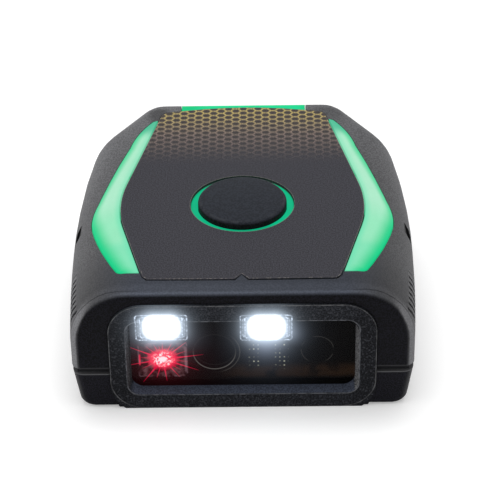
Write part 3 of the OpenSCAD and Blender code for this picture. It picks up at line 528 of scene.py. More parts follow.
def inner_walls(f, look, colour, wall, speck, broken):
    """The window frame's colour with painted light on the walls of its hole: the sill, the right
    and the left, and painted shade near the left's front.
    """
    sill = wall * f.step(f.z, 3.9, 3.1) * f.step(abs(f.x), 16.4, 15.6)
    colour = f.blend(sill, colour, tone(f, look.lit_sill_colour, 0.75 + 0.5 * speck))
    right = wall * f.step(f.x, 15.8, 16.1) * f.step(f.z, 13.8, 12.8)
    colour = f.blend(right * 0.90, colour, tone(f, (0.17, 0.17, 0.175), 0.4 + speck))
    left = wall * f.step(f.x, -15.8, -16.1) * f.step(f.z, 3.4, 4.2)
    colour = f.blend(left * 0.7, colour, tone(f, (0.085, 0.085, 0.090), 0.3 + speck))
    # Painted shade along the left wall near its front
    inner = f.band(f.y, FRONT + 1.0, 0.30, 0.12) * left * broken
    return f.blend(inner * 0.8, colour, (0.010, 0.010, 0.011))


HAZES = (
    # Painted haze of light below the white lamps on the pane: x and z, reach each way, and strength
    ((3.4, 10.0), (2.7, 2.9), 1.0),
    ((6.9, 11.6), (1.9, 2.1), 0.50),
    ((-11.4, 10.8), (3.6, 1.6), 0.45),
)


def window_pane(name, look):
    """Dark coated pane, with painted light: the lamps' glare, the red lamp's star and what shines
    through, and painted shade where the camera shows.
    """
    f = Finish(name, Specular_IOR_Level=0.03, Roughness=0.08)
    fine = f.grain(0.3)
    glare, lit = lamp_glare(f, look, PANE_GLARE)
    red, red_part = red_star(f, look)
    haze = largest(
        f.distance(f.x, f.z, centre, reach).shrink() * part for centre, reach, part in HAZES
    )
    blue = tone(f, look.haze_colour, haze)
    sparks = spark_rows(f)
    shine = tone(f, (0.42, 0.43, 0.33), sparks)
    away = f.distance(f.x, f.z, PANE_CAMERA)
    arcs, arc = optic_arcs(f, away)
    # Painted brown glow low on the pane
    brown = f.step(f.z, 6.8, 5.4) * f.step(f.z, 3.7, 4.6) * f.step(f.x, -5.0, 1.0)
    brown = brown * f.step(f.grain(1.8), 0.24, 0.56)
    arcs = arcs + tone(f, (0.0125, 0.0062, 0.0028), brown)
    # Painted shade: the camera's dark disc
    disc = f.step(away, CAMERA_DISC, CAMERA_DISC - 0.10)
    clear = tone(f, (0.0024, 0.0020, 0.0017), 0.7 + 0.6 * fine)
    f.feed("Base Color", clear * (1.0 - 0.9 * disc))
    f.glow(glare + red + blue + shine + arcs)
    solid = largest((lit, red_part, haze * 0.7, sparks, arc, disc * 0.85))
    f.feed("Alpha", solid.at_least(0.92).at_most(1.0))
    return f.material


def optic_arcs(f, away):
    """Colour of the thin arcs of light round both optics, and the strength of the camera's."""
    arc = f.band(away, CAMERA_DISC, 0.13, 0.03) * (0.09 + 0.91 * f.step(f.z, 9.4, 6.6))
    right = f.step(f.x, -3.6, -1.8) * f.step(f.z, 11.8, 10.0)
    arc = arc.at_least(f.band(away, 3.62, 0.12, 0.03) * right * 0.45)
    second = f.band(f.distance(f.x, f.z, PANE_OPTIC), 2.3, 0.12, 0.03)
    faint = second * f.step(f.grain(2.2, 1.0), 0.48, 0.62)
    return tone(f, (0.075, 0.072, 0.068), arc) + tone(f, (0.020, 0.019, 0.018), faint), arc


RAY_WIDTH = 2.7  # about half the width in millimetres at the root of a ray whose width is 1

STAR = (
    # Rays of the red lamp's star: angle in degrees, length in millimetres, and width
    (9.0, 5.9, 0.13),
    (-25.0, 5.6, 0.11),
    (-58.0, 4.4, 0.09),
    (-84.0, 4.6, 0.12),
    (-122.0, 5.6, 0.12),
    (-167.0, 5.7, 0.09),
    (151.0, 5.9, 0.11),
    (112.0, 3.4, 0.10),
    (90.0, 3.3, 0.11),
    (68.0, 3.6, 0.11),
    (46.0, 5.0, 0.11),
    (27.0, 3.8, 0.12),
    (-42.0, 3.4, 0.10),
    (-104.0, 4.0, 0.10),
    (172.0, 3.6, 0.09),
    (131.0, 3.6, 0.10),
    (-148.0, 3.6, 0.10),
    (57.0, 3.0, 0.09),
    (-8.0, 3.6, 0.10),
    (100.0, 2.9, 0.09),
)


def star_ray(f, across, up, angle, length, width):
    """One ray of the red lamp's star, thinner and weaker toward its tip."""
    turn = math.radians(angle)
    along = across * math.cos(turn) + up * math.sin(turn)
    aside = abs(up * math.cos(turn) - across * math.sin(turn))
    taper = (1.0 - along / length).at_least(0.0)
    ray = f.step(aside - taper**2.0 * width * RAY_WIDTH, 0.09, -0.02) * f.step(along, 0.1, 0.4)
    return ray * taper**0.35


def red_star(f, look):
    """Colour and strength of the red lamp's star on the pane."""
    across, up = f.x - PANE_STAR[0], (f.z - PANE_STAR[1]) * 1.18
    away = (across * across + up * up).root()
    rays = largest(star_ray(f, across, up, *ray) for ray in STAR)
    ragged = away + 1.1 * (f.grain(0.55) - 0.5)
    body = f.step(ragged, 2.5, 1.6)
    grains = f.step(f.grain(0.30, 1.0), 0.46, 0.60)
    middle = f.step(ragged, 1.85, 0.75) * (0.10 + 0.90 * grains)
    middle = middle.at_least(f.step(away, 0.80, 0.35))
    haze = (away / 3.4).shrink() * 0.13
    # The block in front of the lamp, painted as light: a clouded glow on its face, a lit bar at its
    # left and lit edges
    block = f.outline_distance(*AIMER_BLOCK)
    cloud = f.step(block, 0.1, -0.3) * f.step(f.grain(1.1, 3.0), 0.40, 0.75)
    bar = f.band(f.x, -14.75, 0.17, 0.06) * f.band(f.z, 7.3, 1.1, 0.7) * 0.75
    edge = f.band(f.x, -8.15, 0.32, 0.05) * f.band(f.z, 7.3, 2.6, 1.8)
    outline = f.band(block, -0.1, 0.16, 0.05) * f.step(f.grain(0.8, 1.0), 0.42, 0.66) * 0.8
    edge = edge.at_least(outline)
    red = largest((rays, body, haze, bar))
    colour = (
        tone(f, look.star_colour, red)
        + tone(f, (0.9, 0.80, 0.80), middle)
        + tone(f, (0.105, 0.052, 0.060), cloud)
        + tone(f, (0.100, 0.060, 0.072), edge)
    )
    return colour, largest((red, middle, cloud * 0.5, edge * 0.5))


def spark_rows(f):
    """Rows of glints below the right lamp, where its light meets the ribs of the block."""
    across, up = f.fold(f.x + 0.31, 0.31), f.fold(f.z + 0.36, 0.36)
    dots = f.step(across, 0.15, 0.05) * f.step(up, 0.17, 0.05)
    zone = f.band(f.x, 3.5, 3.1, 2.6) * f.step(abs(f.x - 3.4), 0.7, 1.3)
    zone = zone * f.step(f.z, 10.6, 10.0) * f.step(f.z, 5.2, 6.4)
    return dots * zone * f.step(f.grain(0.8, 1.0), 0.42, 0.66) * 0.8


def lit_guide(name, look):
    """Lit guide: pale in the middle of its face and deep green toward its rim."""
    f = Finish(name, Specular_IOR_Level=0.05, Roughness=0.45)
    rim, outer = f.attribute("rim_mm"), f.attribute("outer_mm")
    fine = f.grain(0.2, 1.0)
    along = f.y - FRONT
    ahead = f.step(along, 25.0, 17.5)
    reach = look.rim_width * MM * (1.0 + 1.25 * f.step(along, 26.0, 18.0))
    depth = 0.68 + 0.32 * f.step(along, 24.0, 17.0)
    middle = f.blend(ahead, look.middle_colour, look.ahead_colour)
    middle = f.blend(f.step(rim, 1.1, 0.0) * (0.5 + 0.3 * ahead), middle, look.soft_colour)
    middle = f.blend(f.step(along, 13.5, 11.0) * 0.5, middle, look.soft_colour)
    colour = f.blend(f.step(outer / reach, 1.0, 0.0) * depth, middle, look.rim_colour)
    colour = f.blend(f.step(along, 41.5, 45.0) * 0.9, colour, look.tip_colour)
    colour = f.blend(f.step(rim, 0.14, 0.0) * 0.35, colour, look.edge_colour)
    return lit_plastic(f, look, colour * (0.94 + 0.08 * f.grain(2.6) + 0.06 * fine), fine)


def lit_strip(name, look):
    """Lit strip in the rear edge, deeper green toward its ends."""
    f = Finish(name, Specular_IOR_Level=0.05, Roughness=0.45)
    fine = f.grain(0.2, 1.0)
    ends = f.step(f.x, -4.0, -9.0).at_least(f.step(f.x, 8.0, 10.5))
    colour = f.blend(ends, look.strip_colour, look.strip_end_colour)
    edge = f.step(f.attribute("rim_mm"), 0.16, 0.0) * 0.6
    colour = f.blend(edge, colour, look.edge_colour)
    return lit_plastic(f, look, colour * (0.90 + 0.16 * f.grain(2.0) + 0.04 * fine), fine)


def lit_ring(name, look):
    """Lit ring round the trigger, deep green, darker at its outer edge and in front."""
    f = Finish(name, Specular_IOR_Level=0.04, Roughness=0.50)
    fine = f.grain(0.2, 1.0)
    outer = f.step(f.distance(f.x, f.y, TRIGGER), 7.3, 7.6)
    front = f.step(f.y, -8.5, -10.8)
    colour = f.blend(outer * 0.4, look.ring_colour, look.edge_colour)
    level = 0.80 + 0.26 * f.grain(3.0) + 0.06 * fine - 0.22 * front
    return lit_plastic(f, look, colour * level, fine)


def lit_plastic(f, look, colour, fine):
    """Ends the finish of a lit guide: its light, the faint colour of its plastic and a grain."""
    f.glow(colour, look.guide_strength)
    f.feed("Base Color", colour * 0.07)
    f.bump(fine, 0.25, 0.006)
    return f.material


def satin_cap(name):
    """Satin trigger cap, with a fine grain, painted shade on its skirt and a faint painted
    highlight along its edge.
    """
    f = Finish(name, Specular_IOR_Level=0.08)
    fine = f.grain(0.15)
    speck = speckle(f, 0.26)
    colour = tone(f, (0.0150, 0.0178, 0.0245), 0.70 + 0.16 * f.grain(4.0) + 0.44 * speck)
    away = f.distance(f.x, f.y, TRIGGER)
    # Painted highlight along the cap's edge
    edge_highlight = f.band(away, 6.2, 0.28, 0.06) * f.step(f.grain(1.2), 0.42, 0.62)
    colour = f.blend(edge_highlight * 0.30, colour, (0.055, 0.058, 0.066))
    # Painted shade on the cap's side
    side = f.step(f.z, 20.72, 20.52)
    skirt = tone(f, (0.0065, 0.0065, 0.0075), 0.5 + speck)
    colour = f.blend(side * 0.9, colour, skirt)
    f.feed("Base Color", colour)
    f.feed("Roughness", 0.44 + 0.14 * fine)
    f.bump(speck * 0.5 + fine * 0.5, 0.4, 0.008)
    return f.material


def lamp_lens(name, look):
    """Clear block in front of a white lamp: blown out in the middle, grey at its edges."""
    f = Finish(name, Specular_IOR_Level=0.2, Roughness=0.12)
    fine = f.grain(0.35)
    light = largest(
        f.step(f.distance(f.x, f.z, (x, z + 0.1), (2.35, 1.7)), 1.25, 0.80) for x, z in LAMPS
    )
    sparkle = f.step(fine, 0.50, 0.72)
    level = (0.06 + 0.20 * sparkle).at_least(light * 1.3)
    f.glow(f.blend(light, look.halo_colour, WHITE) * level)
    f.feed("Base Color", tone(f, (0.05, 0.055, 0.06), 0.8 + 0.4 * fine))
    f.bump(sparkle, 0.5, 0.05)
    return f.material


def aimer_glass(name, look):
    """Clear block in front of the red lamp: crimson, with a light centre."""
    f = Finish(name, Specular_IOR_Level=0.2, Roughness=0.12)
    fine = f.grain(0.40)
    away = f.distance(f.x, f.z, AIMER)
    core = f.step(away, 1.3, 0.2)
    haze = (away / 2.2).shrink()
    sparkle = f.step(fine, 0.50, 0.75)
    level = haze * (0.25 + 0.45 * sparkle) * 0.6 + core
    f.glow(f.blend(core, look.star_colour, (1.0, 0.80, 0.82)) * level)
    f.feed("Base Color", tone(f, (0.03, 0.022, 0.025), 0.8 + 0.4 * fine))
    f.bump(sparkle, 0.5, 0.05)
    return f.material


def clear_block(name):
    """Unlit clear block, near black against the engine behind it."""
    f = Finish(name, Specular_IOR_Level=0.2, Roughness=0.15)
    fine = f.grain(0.30)
    f.feed("Base Color", tone(f, (0.008, 0.0075, 0.007), 0.7 + 0.6 * fine))
    f.bump(fine, 0.4, 0.03)
    return f.material


def dark_optic(name, centre, radius, tint):
    """Dark coated lens whose rim catches a thin arc of light."""
    f = Finish(name, Specular_IOR_Level=0.3)
    fine = f.grain(0.4, 1.0)
    glass = tone(f, tint, 0.8 + 0.4 * fine)
    rim = f.band(f.distance(f.x, f.z, centre), radius, 0.12, 0.03)
    f.feed("Base Color", f.blend(rim * 0.5, glass, (0.06, 0.06, 0.065)))
    f.feed("Roughness", 0.08 + 0.10 * fine)
    f.bump(fine, 0.2, 0.01)
    return f.material


def moulding(name, colour=(0.008, 0.008, 0.0085), rough=0.55):
    """Moulded plastic of the inner parts, black if nothing else is said, with a fine grain."""
    f = Finish(name, Specular_IOR_Level=0.2)
    fine = f.grain(0.18)
    f.feed("Base Color", tone(f, colour, 0.75 + 0.35 * fine + 0.20 * f.grain(2.5)))
    f.feed("Roughness", rough - 0.07 + 0.14 * fine)
    f.bump(fine, 0.45, 0.010)
    return f.material


def soft_rubber(name, colour):
    """Soft rubber of seals, dull, with a slight cloud."""
    f = Finish(name, Specular_IOR_Level=0.25)
    fine = f.grain(0.10)
    f.feed("Base Color", tone(f, colour, 0.80 + 0.20 * fine + 0.20 * f.grain(1.8)))
    f.feed("Roughness", 0.68 + 0.14 * fine)
    f.bump(fine, 0.3, 0.008)
    return f.material


def sheet_metal(name, colour, rough):
    """Metal with fine rolling lines."""
    f = Finish(name, Metallic=1.0)
    lines = f.grain(0.12, stretch=(6.0, 0.4, 1.0))
    f.feed("Base Color", tone(f, colour, 0.86 + 0.18 * lines + 0.08 * f.grain(2.0)))
    f.feed("Roughness", rough - 0.06 + 0.14 * lines)
    f.bump(lines, 0.25, 0.004)
    return f.material


def circuit_board(name):
    """Green solder mask with traces and bright pads."""
    f = Finish(name, Specular_IOR_Level=0.5)
    fine = f.grain(0.2, 1.0)
    lanes = f.node(
        "ShaderNodeTexBrick",
        {"offset": 0.5},
        {
            "Vector": f.place,
            "Color1": (0, 0, 0, 1),
            "Color2": (0, 0, 0, 1),
            "Mortar": (1, 1, 1, 1),
            "Scale": 0.55,
            "Mortar Size": 0.035,
            "Mortar Smooth": 0.2,
            "Brick Width": 1.6,
            "Row Height": 0.42,
        },
        "Fac",
    )
    pads = f.step(f.grain(0.9, 0.0), 0.72, 0.74)
    mask = f.blend(lanes, (0.006, 0.055, 0.022), (0.012, 0.105, 0.045))
    f.feed("Base Color", f.blend(pads, mask, (0.62, 0.60, 0.55)) * (0.9 + 0.2 * fine))
    f.feed("Roughness", 0.30 + 0.15 * fine)
    f.feed("Metallic", pads * 0.8)
    f.bump(lanes + pads, 0.4, 0.03)
    return f.material


def lit_lamp(name, colour, strength):
    """Lamp chip, lit a little unevenly."""
    f = Finish(name, Roughness=0.3)
    cell = f.grain(0.5, 1.0)
    f.glow(tone(f, colour, 0.8 + 0.4 * cell), strength)
    f.feed("Base Color", tone(f, colour, 0.5 + 0.3 * cell))
    return f.material


def foil_pouch(name):
    """Foil of the battery's pouch, softly creased."""
    f = Finish(name, Metallic=0.7)
    crease = f.grain(1.6, 4.0, stretch=(2.0, 0.6, 1.0))
    level = 0.85 + 0.2 * crease + 0.05 * f.grain(0.2, 1.0)
    f.feed("Base Color", tone(f, (0.50, 0.51, 0.53), level))
    f.feed("Roughness", 0.28 + 0.2 * crease)
    f.bump(crease, 0.5, 0.15)
    return f.material


def foam(name):
    """Open foam, pitted all over."""
    f = Finish(name, Specular_IOR_Level=0.2)
    pits = f.node("ShaderNodeTexVoronoi", {}, {"Vector": f.place, "Scale": 2.5}, "Distance")
    f.feed("Base Color", tone(f, (0.05, 0.05, 0.055), 0.6 + 0.6 * pits))
    f.feed("Roughness", 0.85 + 0.1 * pits)
    f.bump(pits, 0.8, 0.2)
    return f.material


def flex_film(name):
    """Amber film of the flexible cable, with copper lines running along it."""
    f = Finish(name, Specular_IOR_Level=0.5)
    waves = f.node(
        "ShaderNodeTexWave",
        {"wave_type": "BANDS", "bands_direction": "X"},
        {"Vector": f.place, "Scale": 0.55, "Distortion": 0.0},
        "Fac",
    )
    lines = f.step(waves, 0.45, 0.6)
    f.feed("Base Color", f.blend(lines, (0.22, 0.085, 0.012), (0.42, 0.20, 0.05)))
    f.feed("Roughness", 0.28 + 0.1 * waves)
    f.bump(lines, 0.4, 0.02)
    return f.material


# ---------------------------------------------------------------- pieces


def only(*objects):
    """Selects these objects and nothing else."""
    if bpy.context.object and bpy.context.object.mode != "OBJECT":
        bpy.ops.object.mode_set(mode="OBJECT")
    bpy.ops.object.select_all(action="DESELECT")
    for o in objects:
        o.select_set(True)
    bpy.context.view_layer.objects.active = objects[0]


def give(piece, material):
    """Gives a piece this finish and no other."""
    piece.data.materials.clear()
    piece.data.materials.append(material)


WELD = 0.000002  # points of a copy nearer than this, in metres, are merged


def dressed(node, name, material, angle=30.0, shape=None):
    """A welded copy of a CAD node that stands for it, smooth where its faces meet flatly."""
    source = frame["nodes"][node]
    only(source)
    bpy.ops.object.duplicate(linked=False)
    piece = bpy.context.active_object
    piece.name = piece.data.name = name
    body = piece["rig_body"]
    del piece["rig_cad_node"]
    bpy.ops.object.parent_clear(type="CLEAR_KEEP_TRANSFORM")
    bpy.ops.object.mode_set(mode="EDIT")
    bpy.ops.mesh.select_all(action="SELECT")
    bpy.ops.mesh.customdata_custom_splitnormals_clear()
    bpy.ops.mesh.remove_doubles(threshold=WELD)
    bpy.ops.object.mode_set(mode="OBJECT")
    if shape:
        shape(piece)
    bpy.ops.object.shade_smooth_by_angle(angle=math.radians(angle))
    give(piece, material)
    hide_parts(node)
    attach(piece, body)
    return piece


def painted(node, material):
    """A CAD node that keeps its shape and gets its finish."""
    give(frame["nodes"][node], material)


def note(mesh, name, values):
    """Stores one number for each point of a mesh."""
    made = mesh.attributes.new(name, "FLOAT", "POINT")
    made.data.foreach_set("value", np.asarray(values, np.float32))


# Sizes on the lit faces and on the film, in metres
LIT_DEPTH = 0.0052  # how far below a guide's highest point its lit face reaches
FIRST_CUT = (0.0002, 0.0004)  # how far from its ends in x and y its first cuts are
CELL = (0.0004, 0.0007)  # size in x and y of the cells into which it is cut
CUT_BAND = 0.0003  # width of the band along the film's cut edge

# How much of a direction of length 1 has to point up, or out to its side
LIT_FACE_UP = 0.45
LIT_POINT_UP = 0.2
LIT_EDGE_OUT = 0.25
FILM_FACE_UP = 0.7


def mark_rim(piece):
    """Cuts the lit face into small cells and notes each point's distance from its outline."""
    mesh = piece.data
    low, high = [pick(v.co.y for v in mesh.vertices) for pick in (min, max)]
    left, right = [pick(v.co.x for v in mesh.vertices) for pick in (min, max)]
    segments, outward = lit_outline(mesh, 1.0 if left + right > 0 else -1.0)
    only(piece)
    bpy.ops.object.mode_set(mode="EDIT")
    cuts = [((0, y, 0), (0, 1, 0)) for y in np.arange(low + FIRST_CUT[1], high, CELL[1])]
    cuts += [((x, 0, 0), (1, 0, 0)) for x in np.arange(left + FIRST_CUT[0], right, CELL[0])]
    for point, normal in cuts:
        bpy.ops.mesh.select_all(action="SELECT")
        bpy.ops.mesh.bisect(plane_co=point, plane_no=normal)
    bpy.ops.object.mode_set(mode="OBJECT")
    points = np.array([v.co for v in mesh.vertices], float)
    start, run = segments[:, 0], segments[:, 1] - segments[:, 0]
    share = np.einsum("psk,sk->ps", points[:, None] - start[None], run)
    share = np.clip(share / np.maximum((run**2).sum(1), 1e-12), 0, 1)
    nearest = start[None] + share[..., None] * run[None]
    away = np.linalg.norm(points[:, None] - nearest, axis=2) * MM
    facing = np.array([v.normal.z for v in mesh.vertices]) >= LIT_POINT_UP
    note(mesh, "rim_mm", away.min(1) * facing)
    note(mesh, "outer_mm", away[:, outward].min(1) * facing)


def lit_outline(mesh, side):
    """The edges round the lit face, and which of them look out to this side, 1 or -1."""
    top = max(v.co.z for v in mesh.vertices)
    owners = {}
    for p in mesh.polygons:
        if p.normal.z > LIT_FACE_UP and p.center.z > top - LIT_DEPTH:
            for key in p.edge_keys:
                owners.setdefault(key, []).append(p)
    ends, outward = [], []
    for (a, b), faces in owners.items():
        if len(faces) == 1:
            a, b = mesh.vertices[a].co, mesh.vertices[b].co
            ends.append((a, b))
            across = (a + b) / 2 - faces[0].center
            across -= (b - a) * across.dot(b - a) / max((b - a).length_squared, 1e-15)
            outward.append(across.normalized().x * side > LIT_EDGE_OUT)
    return np.array(ends, float), np.array(outward)


def mark_edge(piece):
    """Sets a narrow band along the film's cut edge and notes which points lie on that edge."""
    mesh = piece.data
    only(piece)
    bpy.ops.object.mode_set(mode="EDIT")
    bpy.ops.mesh.select_mode(type="FACE")
    bpy.ops.mesh.select_all(action="DESELECT")
    bpy.ops.object.mode_set(mode="OBJECT")
    for p in mesh.polygons:
        p.select = p.normal.z > FILM_FACE_UP
    bpy.ops.object.mode_set(mode="EDIT")
    bpy.ops.mesh.inset(thickness=CUT_BAND, use_even_offset=True)
    bpy.ops.object.mode_set(mode="OBJECT")
    count = {}
    for p in mesh.polygons:
        if p.normal.z > FILM_FACE_UP:
            for key in p.edge_keys:
                count[key] = count.get(key, 0) + 1
    edge = np.zeros(len(mesh.vertices))
    for key, n in count.items():
        if n == 1:
            edge[list(key)] = 1.0
    note(mesh, "edge", edge)


# ---------------------------------------------------------------- settings

COLOUR = {"subtype": "COLOR", "min": 0.0, "max": 1.0}
LENGTH = {"subtype": "DISTANCE", "unit": "LENGTH"}


class HousingLook(bpy.types.PropertyGroup):
    """Colours of the two shells and the window frame, some of them painted light and shade."""

    top_colour: bpy.props.FloatVectorProperty(
        name="Top",
        description="Colour of the shells seen from above, toward the sides",
        default=(0.062, 0.062, 0.065),
        **COLOUR,
    )
    # Painted reflection round the trigger
    crown_reflection_colour: bpy.props.FloatVectorProperty(
        name="Crown",
        description="Colour of the upper shell round the trigger",
        default=(0.0465, 0.052, 0.067),
        **COLOUR,
    )
    # Painted shade of the shells' front face
    front_shade_colour: bpy.props.FloatVectorProperty(
        name="Front",
        description="Colour of the shells' front face",
        default=(0.0060, 0.0058, 0.0092),
        **COLOUR,
    )
    bezel_colour: bpy.props.FloatVectorProperty(
        name="Window frame",
        description="Colour of the rubber frame round the window",
        default=(0.016, 0.017, 0.021),
        **COLOUR,
    )
    # Painted light on the frame's inner wall below the window
    lit_sill_colour: bpy.props.FloatVectorProperty(
        name="Window sill",
        description="Colour of the frame's inner wall below the window",
        default=(0.060, 0.070, 0.098),
        **COLOUR,
    )


class LabelLook(bpy.types.PropertyGroup):
    """Print of the film on top."""

    ground_colour: bpy.props.FloatVectorProperty(
        name="Ground",
        description="Colour of the film where nothing is printed",
        default=(0.038, 0.0375, 0.046),
        **COLOUR,
    )
    cell_colour: bpy.props.FloatVectorProperty(
        name="Cells",
        description="Colour in the middle of the honeycomb's cells",
        default=(0.0450, 0.0375, 0.0370),
        **COLOUR,
    )
    ring_colour: bpy.props.FloatVectorProperty(
        name="Cell rims",
        description="Colour of the honeycomb's cells next to their lines",
        default=(0.105, 0.088, 0.068),
        **COLOUR,
    )
    gold_colour: bpy.props.FloatVectorProperty(
        name="Lines",
        description="Colour of the honeycomb's lines at the rear edge",
        default=(0.42, 0.33, 0.12),
        **COLOUR,
    )
    brown_colour: bpy.props.FloatVectorProperty(
        name="Fading lines",
        description="Colour of the honeycomb's lines where they fade out",
        default=(0.178, 0.133, 0.130),
        **COLOUR,
    )
    cut_colour: bpy.props.FloatVectorProperty(
        name="Cut edge",
        description="Colour of the film's cut edge",
        default=(0.24, 0.22, 0.20),
        **COLOUR,
    )
    cell_size: bpy.props.FloatProperty(
        name="Cell",
        description="Distance from the middle of a cell to its corner",
        default=0.00078,
        min=0.0003,
        max=0.003,
        precision=5,
        **LENGTH,
    )
    line_width: bpy.props.FloatProperty(
        name="Line",
        description="Half the width of the honeycomb's lines",
        default=0.00022,
        min=0.00002,
        max=0.001,
        precision=5,
        **LENGTH,
    )
    fade_start: bpy.props.FloatProperty(
        name="Fade, front",
        description="Distance behind the front face at which the honeycomb begins to show",
        default=0.0335,
        min=0.0,
        max=0.1,
        **LENGTH,
    )
    fade_end: bpy.props.FloatProperty(
        name="Fade, rear",
        description="Distance behind the front face from which the honeycomb is at full strength",
        default=0.046,
        min=0.0,
        max=0.1,
        **LENGTH,
    )


class LightLook(bpy.types.PropertyGroup):
    """Colours of everything that is lit."""

    middle_colour: bpy.props.FloatVectorProperty(
        name="Guide, middle",
        description="Light in the middle of a guide's face",
        default=(0.45, 0.88, 0.63),
        **COLOUR,
    )
    ahead_colour: bpy.props.FloatVectorProperty(
        name="Guide, front",
        description="Light in the middle of a guide's face at its front",
        default=(0.33, 0.86, 0.55),
        **COLOUR,
    )
    soft_colour: bpy.props.FloatVectorProperty(
        name="Guide, inner side",
        description="Light near a guide's outline, next to the film",
        default=(0.17, 0.80, 0.48),
        **COLOUR,
    )
    tip_colour: bpy.props.FloatVectorProperty(
        name="Guide, tip",
        description="Light at the rear tip of a guide",
        default=(0.085, 0.54, 0.33),
        **COLOUR,
    )
    rim_colour: bpy.props.FloatVectorProperty(
        name="Guide, rim",
        description="Light along a guide's outer side",
        default=(0.002, 0.67, 0.26),
        **COLOUR,
    )
    edge_colour: bpy.props.FloatVectorProperty(
        name="Guide, edge",
        description="Light at the very edge of a guide",
        default=(0.004, 0.36, 0.15),
        **COLOUR,
    )
    strip_colour: bpy.props.FloatVectorProperty(
        name="Rear strip",
        description="Light of the strip in the rear edge",
        default=(0.006, 0.75, 0.31),
        **COLOUR,
    )
    strip_end_colour: bpy.props.FloatVectorProperty(
        name="Rear strip, ends",
        description="Light at the ends of the strip in the rear edge",
        default=(0.004, 0.64, 0.24),
        **COLOUR,
    )
    ring_colour: bpy.props.FloatVectorProperty(
        name="Ring",
        description="Light of the ring round the trigger",
        default=(0.003, 0.54, 0.26),
        **COLOUR,
    )
    halo_colour: bpy.props.FloatVectorProperty(
        name="White lamp halo",
        description="Light round the two white lamps",
        default=(0.62, 0.74, 0.88),
        **COLOUR,
    )
    wire_colour: bpy.props.FloatVectorProperty(
        name="White lamp block",
        description="Light on the edges of the blocks in front of the white lamps",
        default=(0.60, 0.70, 0.85),
        **COLOUR,
    )
    haze_colour: bpy.props.FloatVectorProperty(
        name="White lamp haze",
        description="Haze below the white lamps",
        default=(0.170, 0.205, 0.275),
        **COLOUR,
    )
    star_colour: bpy.props.FloatVectorProperty(
        name="Red lamp",
        description="Light of the red lamp's star",
        default=(0.84, 0.000, 0.052),
        **COLOUR,
    )
    rim_width: bpy.props.FloatProperty(
        name="Rim",
        description="Width over which a guide turns from deep to pale green",
        default=0.00115,
        min=0.0001,
        max=0.004,
        precision=5,
        **LENGTH,
    )
    guide_strength: bpy.props.FloatProperty(
        name="Guide strength",
        description="Strength of the guides' light, where 1 shows the colours as set",
        default=0.85,
        min=0.0,
        max=10.0,
    )


class StageLook(bpy.types.PropertyGroup):
    """Floor, lamps and camera."""

    floor_colour: bpy.props.FloatVectorProperty(
        name="Floor",
        description="Colour of the floor",
        default=(0.90, 0.90, 0.90),
        **COLOUR,
    )
    sky_level: bpy.props.FloatProperty(
        name="Sky",
        description="Level of the even light all round",
        default=0.55,
        min=0.0,
        max=5.0,
    )
    key_power: bpy.props.FloatProperty(
        name="Overhead lamp",
        description="Power of the large lamp overhead",
        subtype="POWER",
        unit="POWER",
        default=2.0,
        min=0.0,
        max=50.0,
    )
    camera_place: bpy.props.FloatVectorProperty(
        name="Camera",
        description="Place of the camera",
        subtype="TRANSLATION",
        unit="LENGTH",
        default=(0.004075, -0.25960, 0.18240),
    )
    camera_turn: bpy.props.FloatVectorProperty(
        name="Camera angles",
        description="Turn of the camera about X, Y and Z",
        subtype="EULER",
        unit="ROTATION",
        default=(0.9829494, 0.0142927, 0.0024609),
    )
    camera_lens: bpy.props.FloatProperty(
        name="Focal length",
        description="Focal length of the camera, for a sensor 36 mm wide",
        default=147.64,
        min=10.0,
        max=1000.0,
    )


# ---------------------------------------------------------------- operators


class SCANNER_OT_shells(bpy.types.Operator):
    """Dress the two shells and the seal between them"""

    bl_idname = "scanner.shells"
    bl_label = "Shells"

    def execute(self, context):
        look = context.scene.scanner_housing
        above = made_once("housing_top", housing_plastic, look, True)
        below = made_once("housing_base", housing_plastic, look, False)
        dressed("upper_housing", "upper_shell", above, 32.0)
        dressed("lower_housing", "lower_shell", below, 32.0)
        seal = made_once("seal_rubber", soft_rubber, SEAL_BLACK)
        dressed("housing_gasket", "shell_seal", seal)
        return {"FINISHED"}


class SCANNER_OT_label(bpy.types.Operator):
    """Dress the film on top with its honeycomb"""

    bl_idname = "scanner.label"
    bl_label = "Top film"

    def execute(self, context):
        film = made_once("printed_film", label_film, context.scene.scanner_label)
        dressed("top_label", "top_film", film, 40.0, mark_edge)
        return {"FINISHED"}


class SCANNER_OT_guides(bpy.types.Operator):
    """Dress the lit guides along the film and at the rear"""

    bl_idname = "scanner.guides"
    bl_label = "Light guides"

    def execute(self, context):
        look = context.scene.scanner_light
        lit = made_once("lit_guide", lit_guide, look)
        strip = made_once("lit_strip", lit_strip, look)
        dressed("left_light_guide", "left_guide", lit, 30.0, mark_rim)
        dressed("right_light_guide", "right_guide", lit, 30.0, mark_rim)
        dressed("rear_light_guide", "rear_guide", strip, 30.0, mark_rim)
        return {"FINISHED"}


class SCANNER_OT_trigger(bpy.types.Operator):
    """Dress the trigger, its ring, seal, clip and switch"""

    bl_idname = "scanner.trigger"
    bl_label = "Trigger"

    def execute(self, context):
        ring = made_once("lit_ring", lit_ring, context.scene.scanner_light)
        dressed("trigger_light_ring", "trigger_ring", ring)
        cap = made_once("satin_cap", satin_cap)
        dressed("trigger_button", "trigger_cap", cap)
        painted("button_seal", made_once("seal_grey", soft_rubber, (0.045, 0.046, 0.05)))
        steel = made_once("spring_steel", sheet_metal, (0.55, 0.55, 0.56), 0.3)
        painted("button_clip", steel)
        painted("trigger_switch", made_once("switch_black", moulding))
        white = made_once("white_plastic", moulding, (0.62, 0.62, 0.60), 0.45)
        painted("switch_plunger", white)
        return {"FINISHED"}


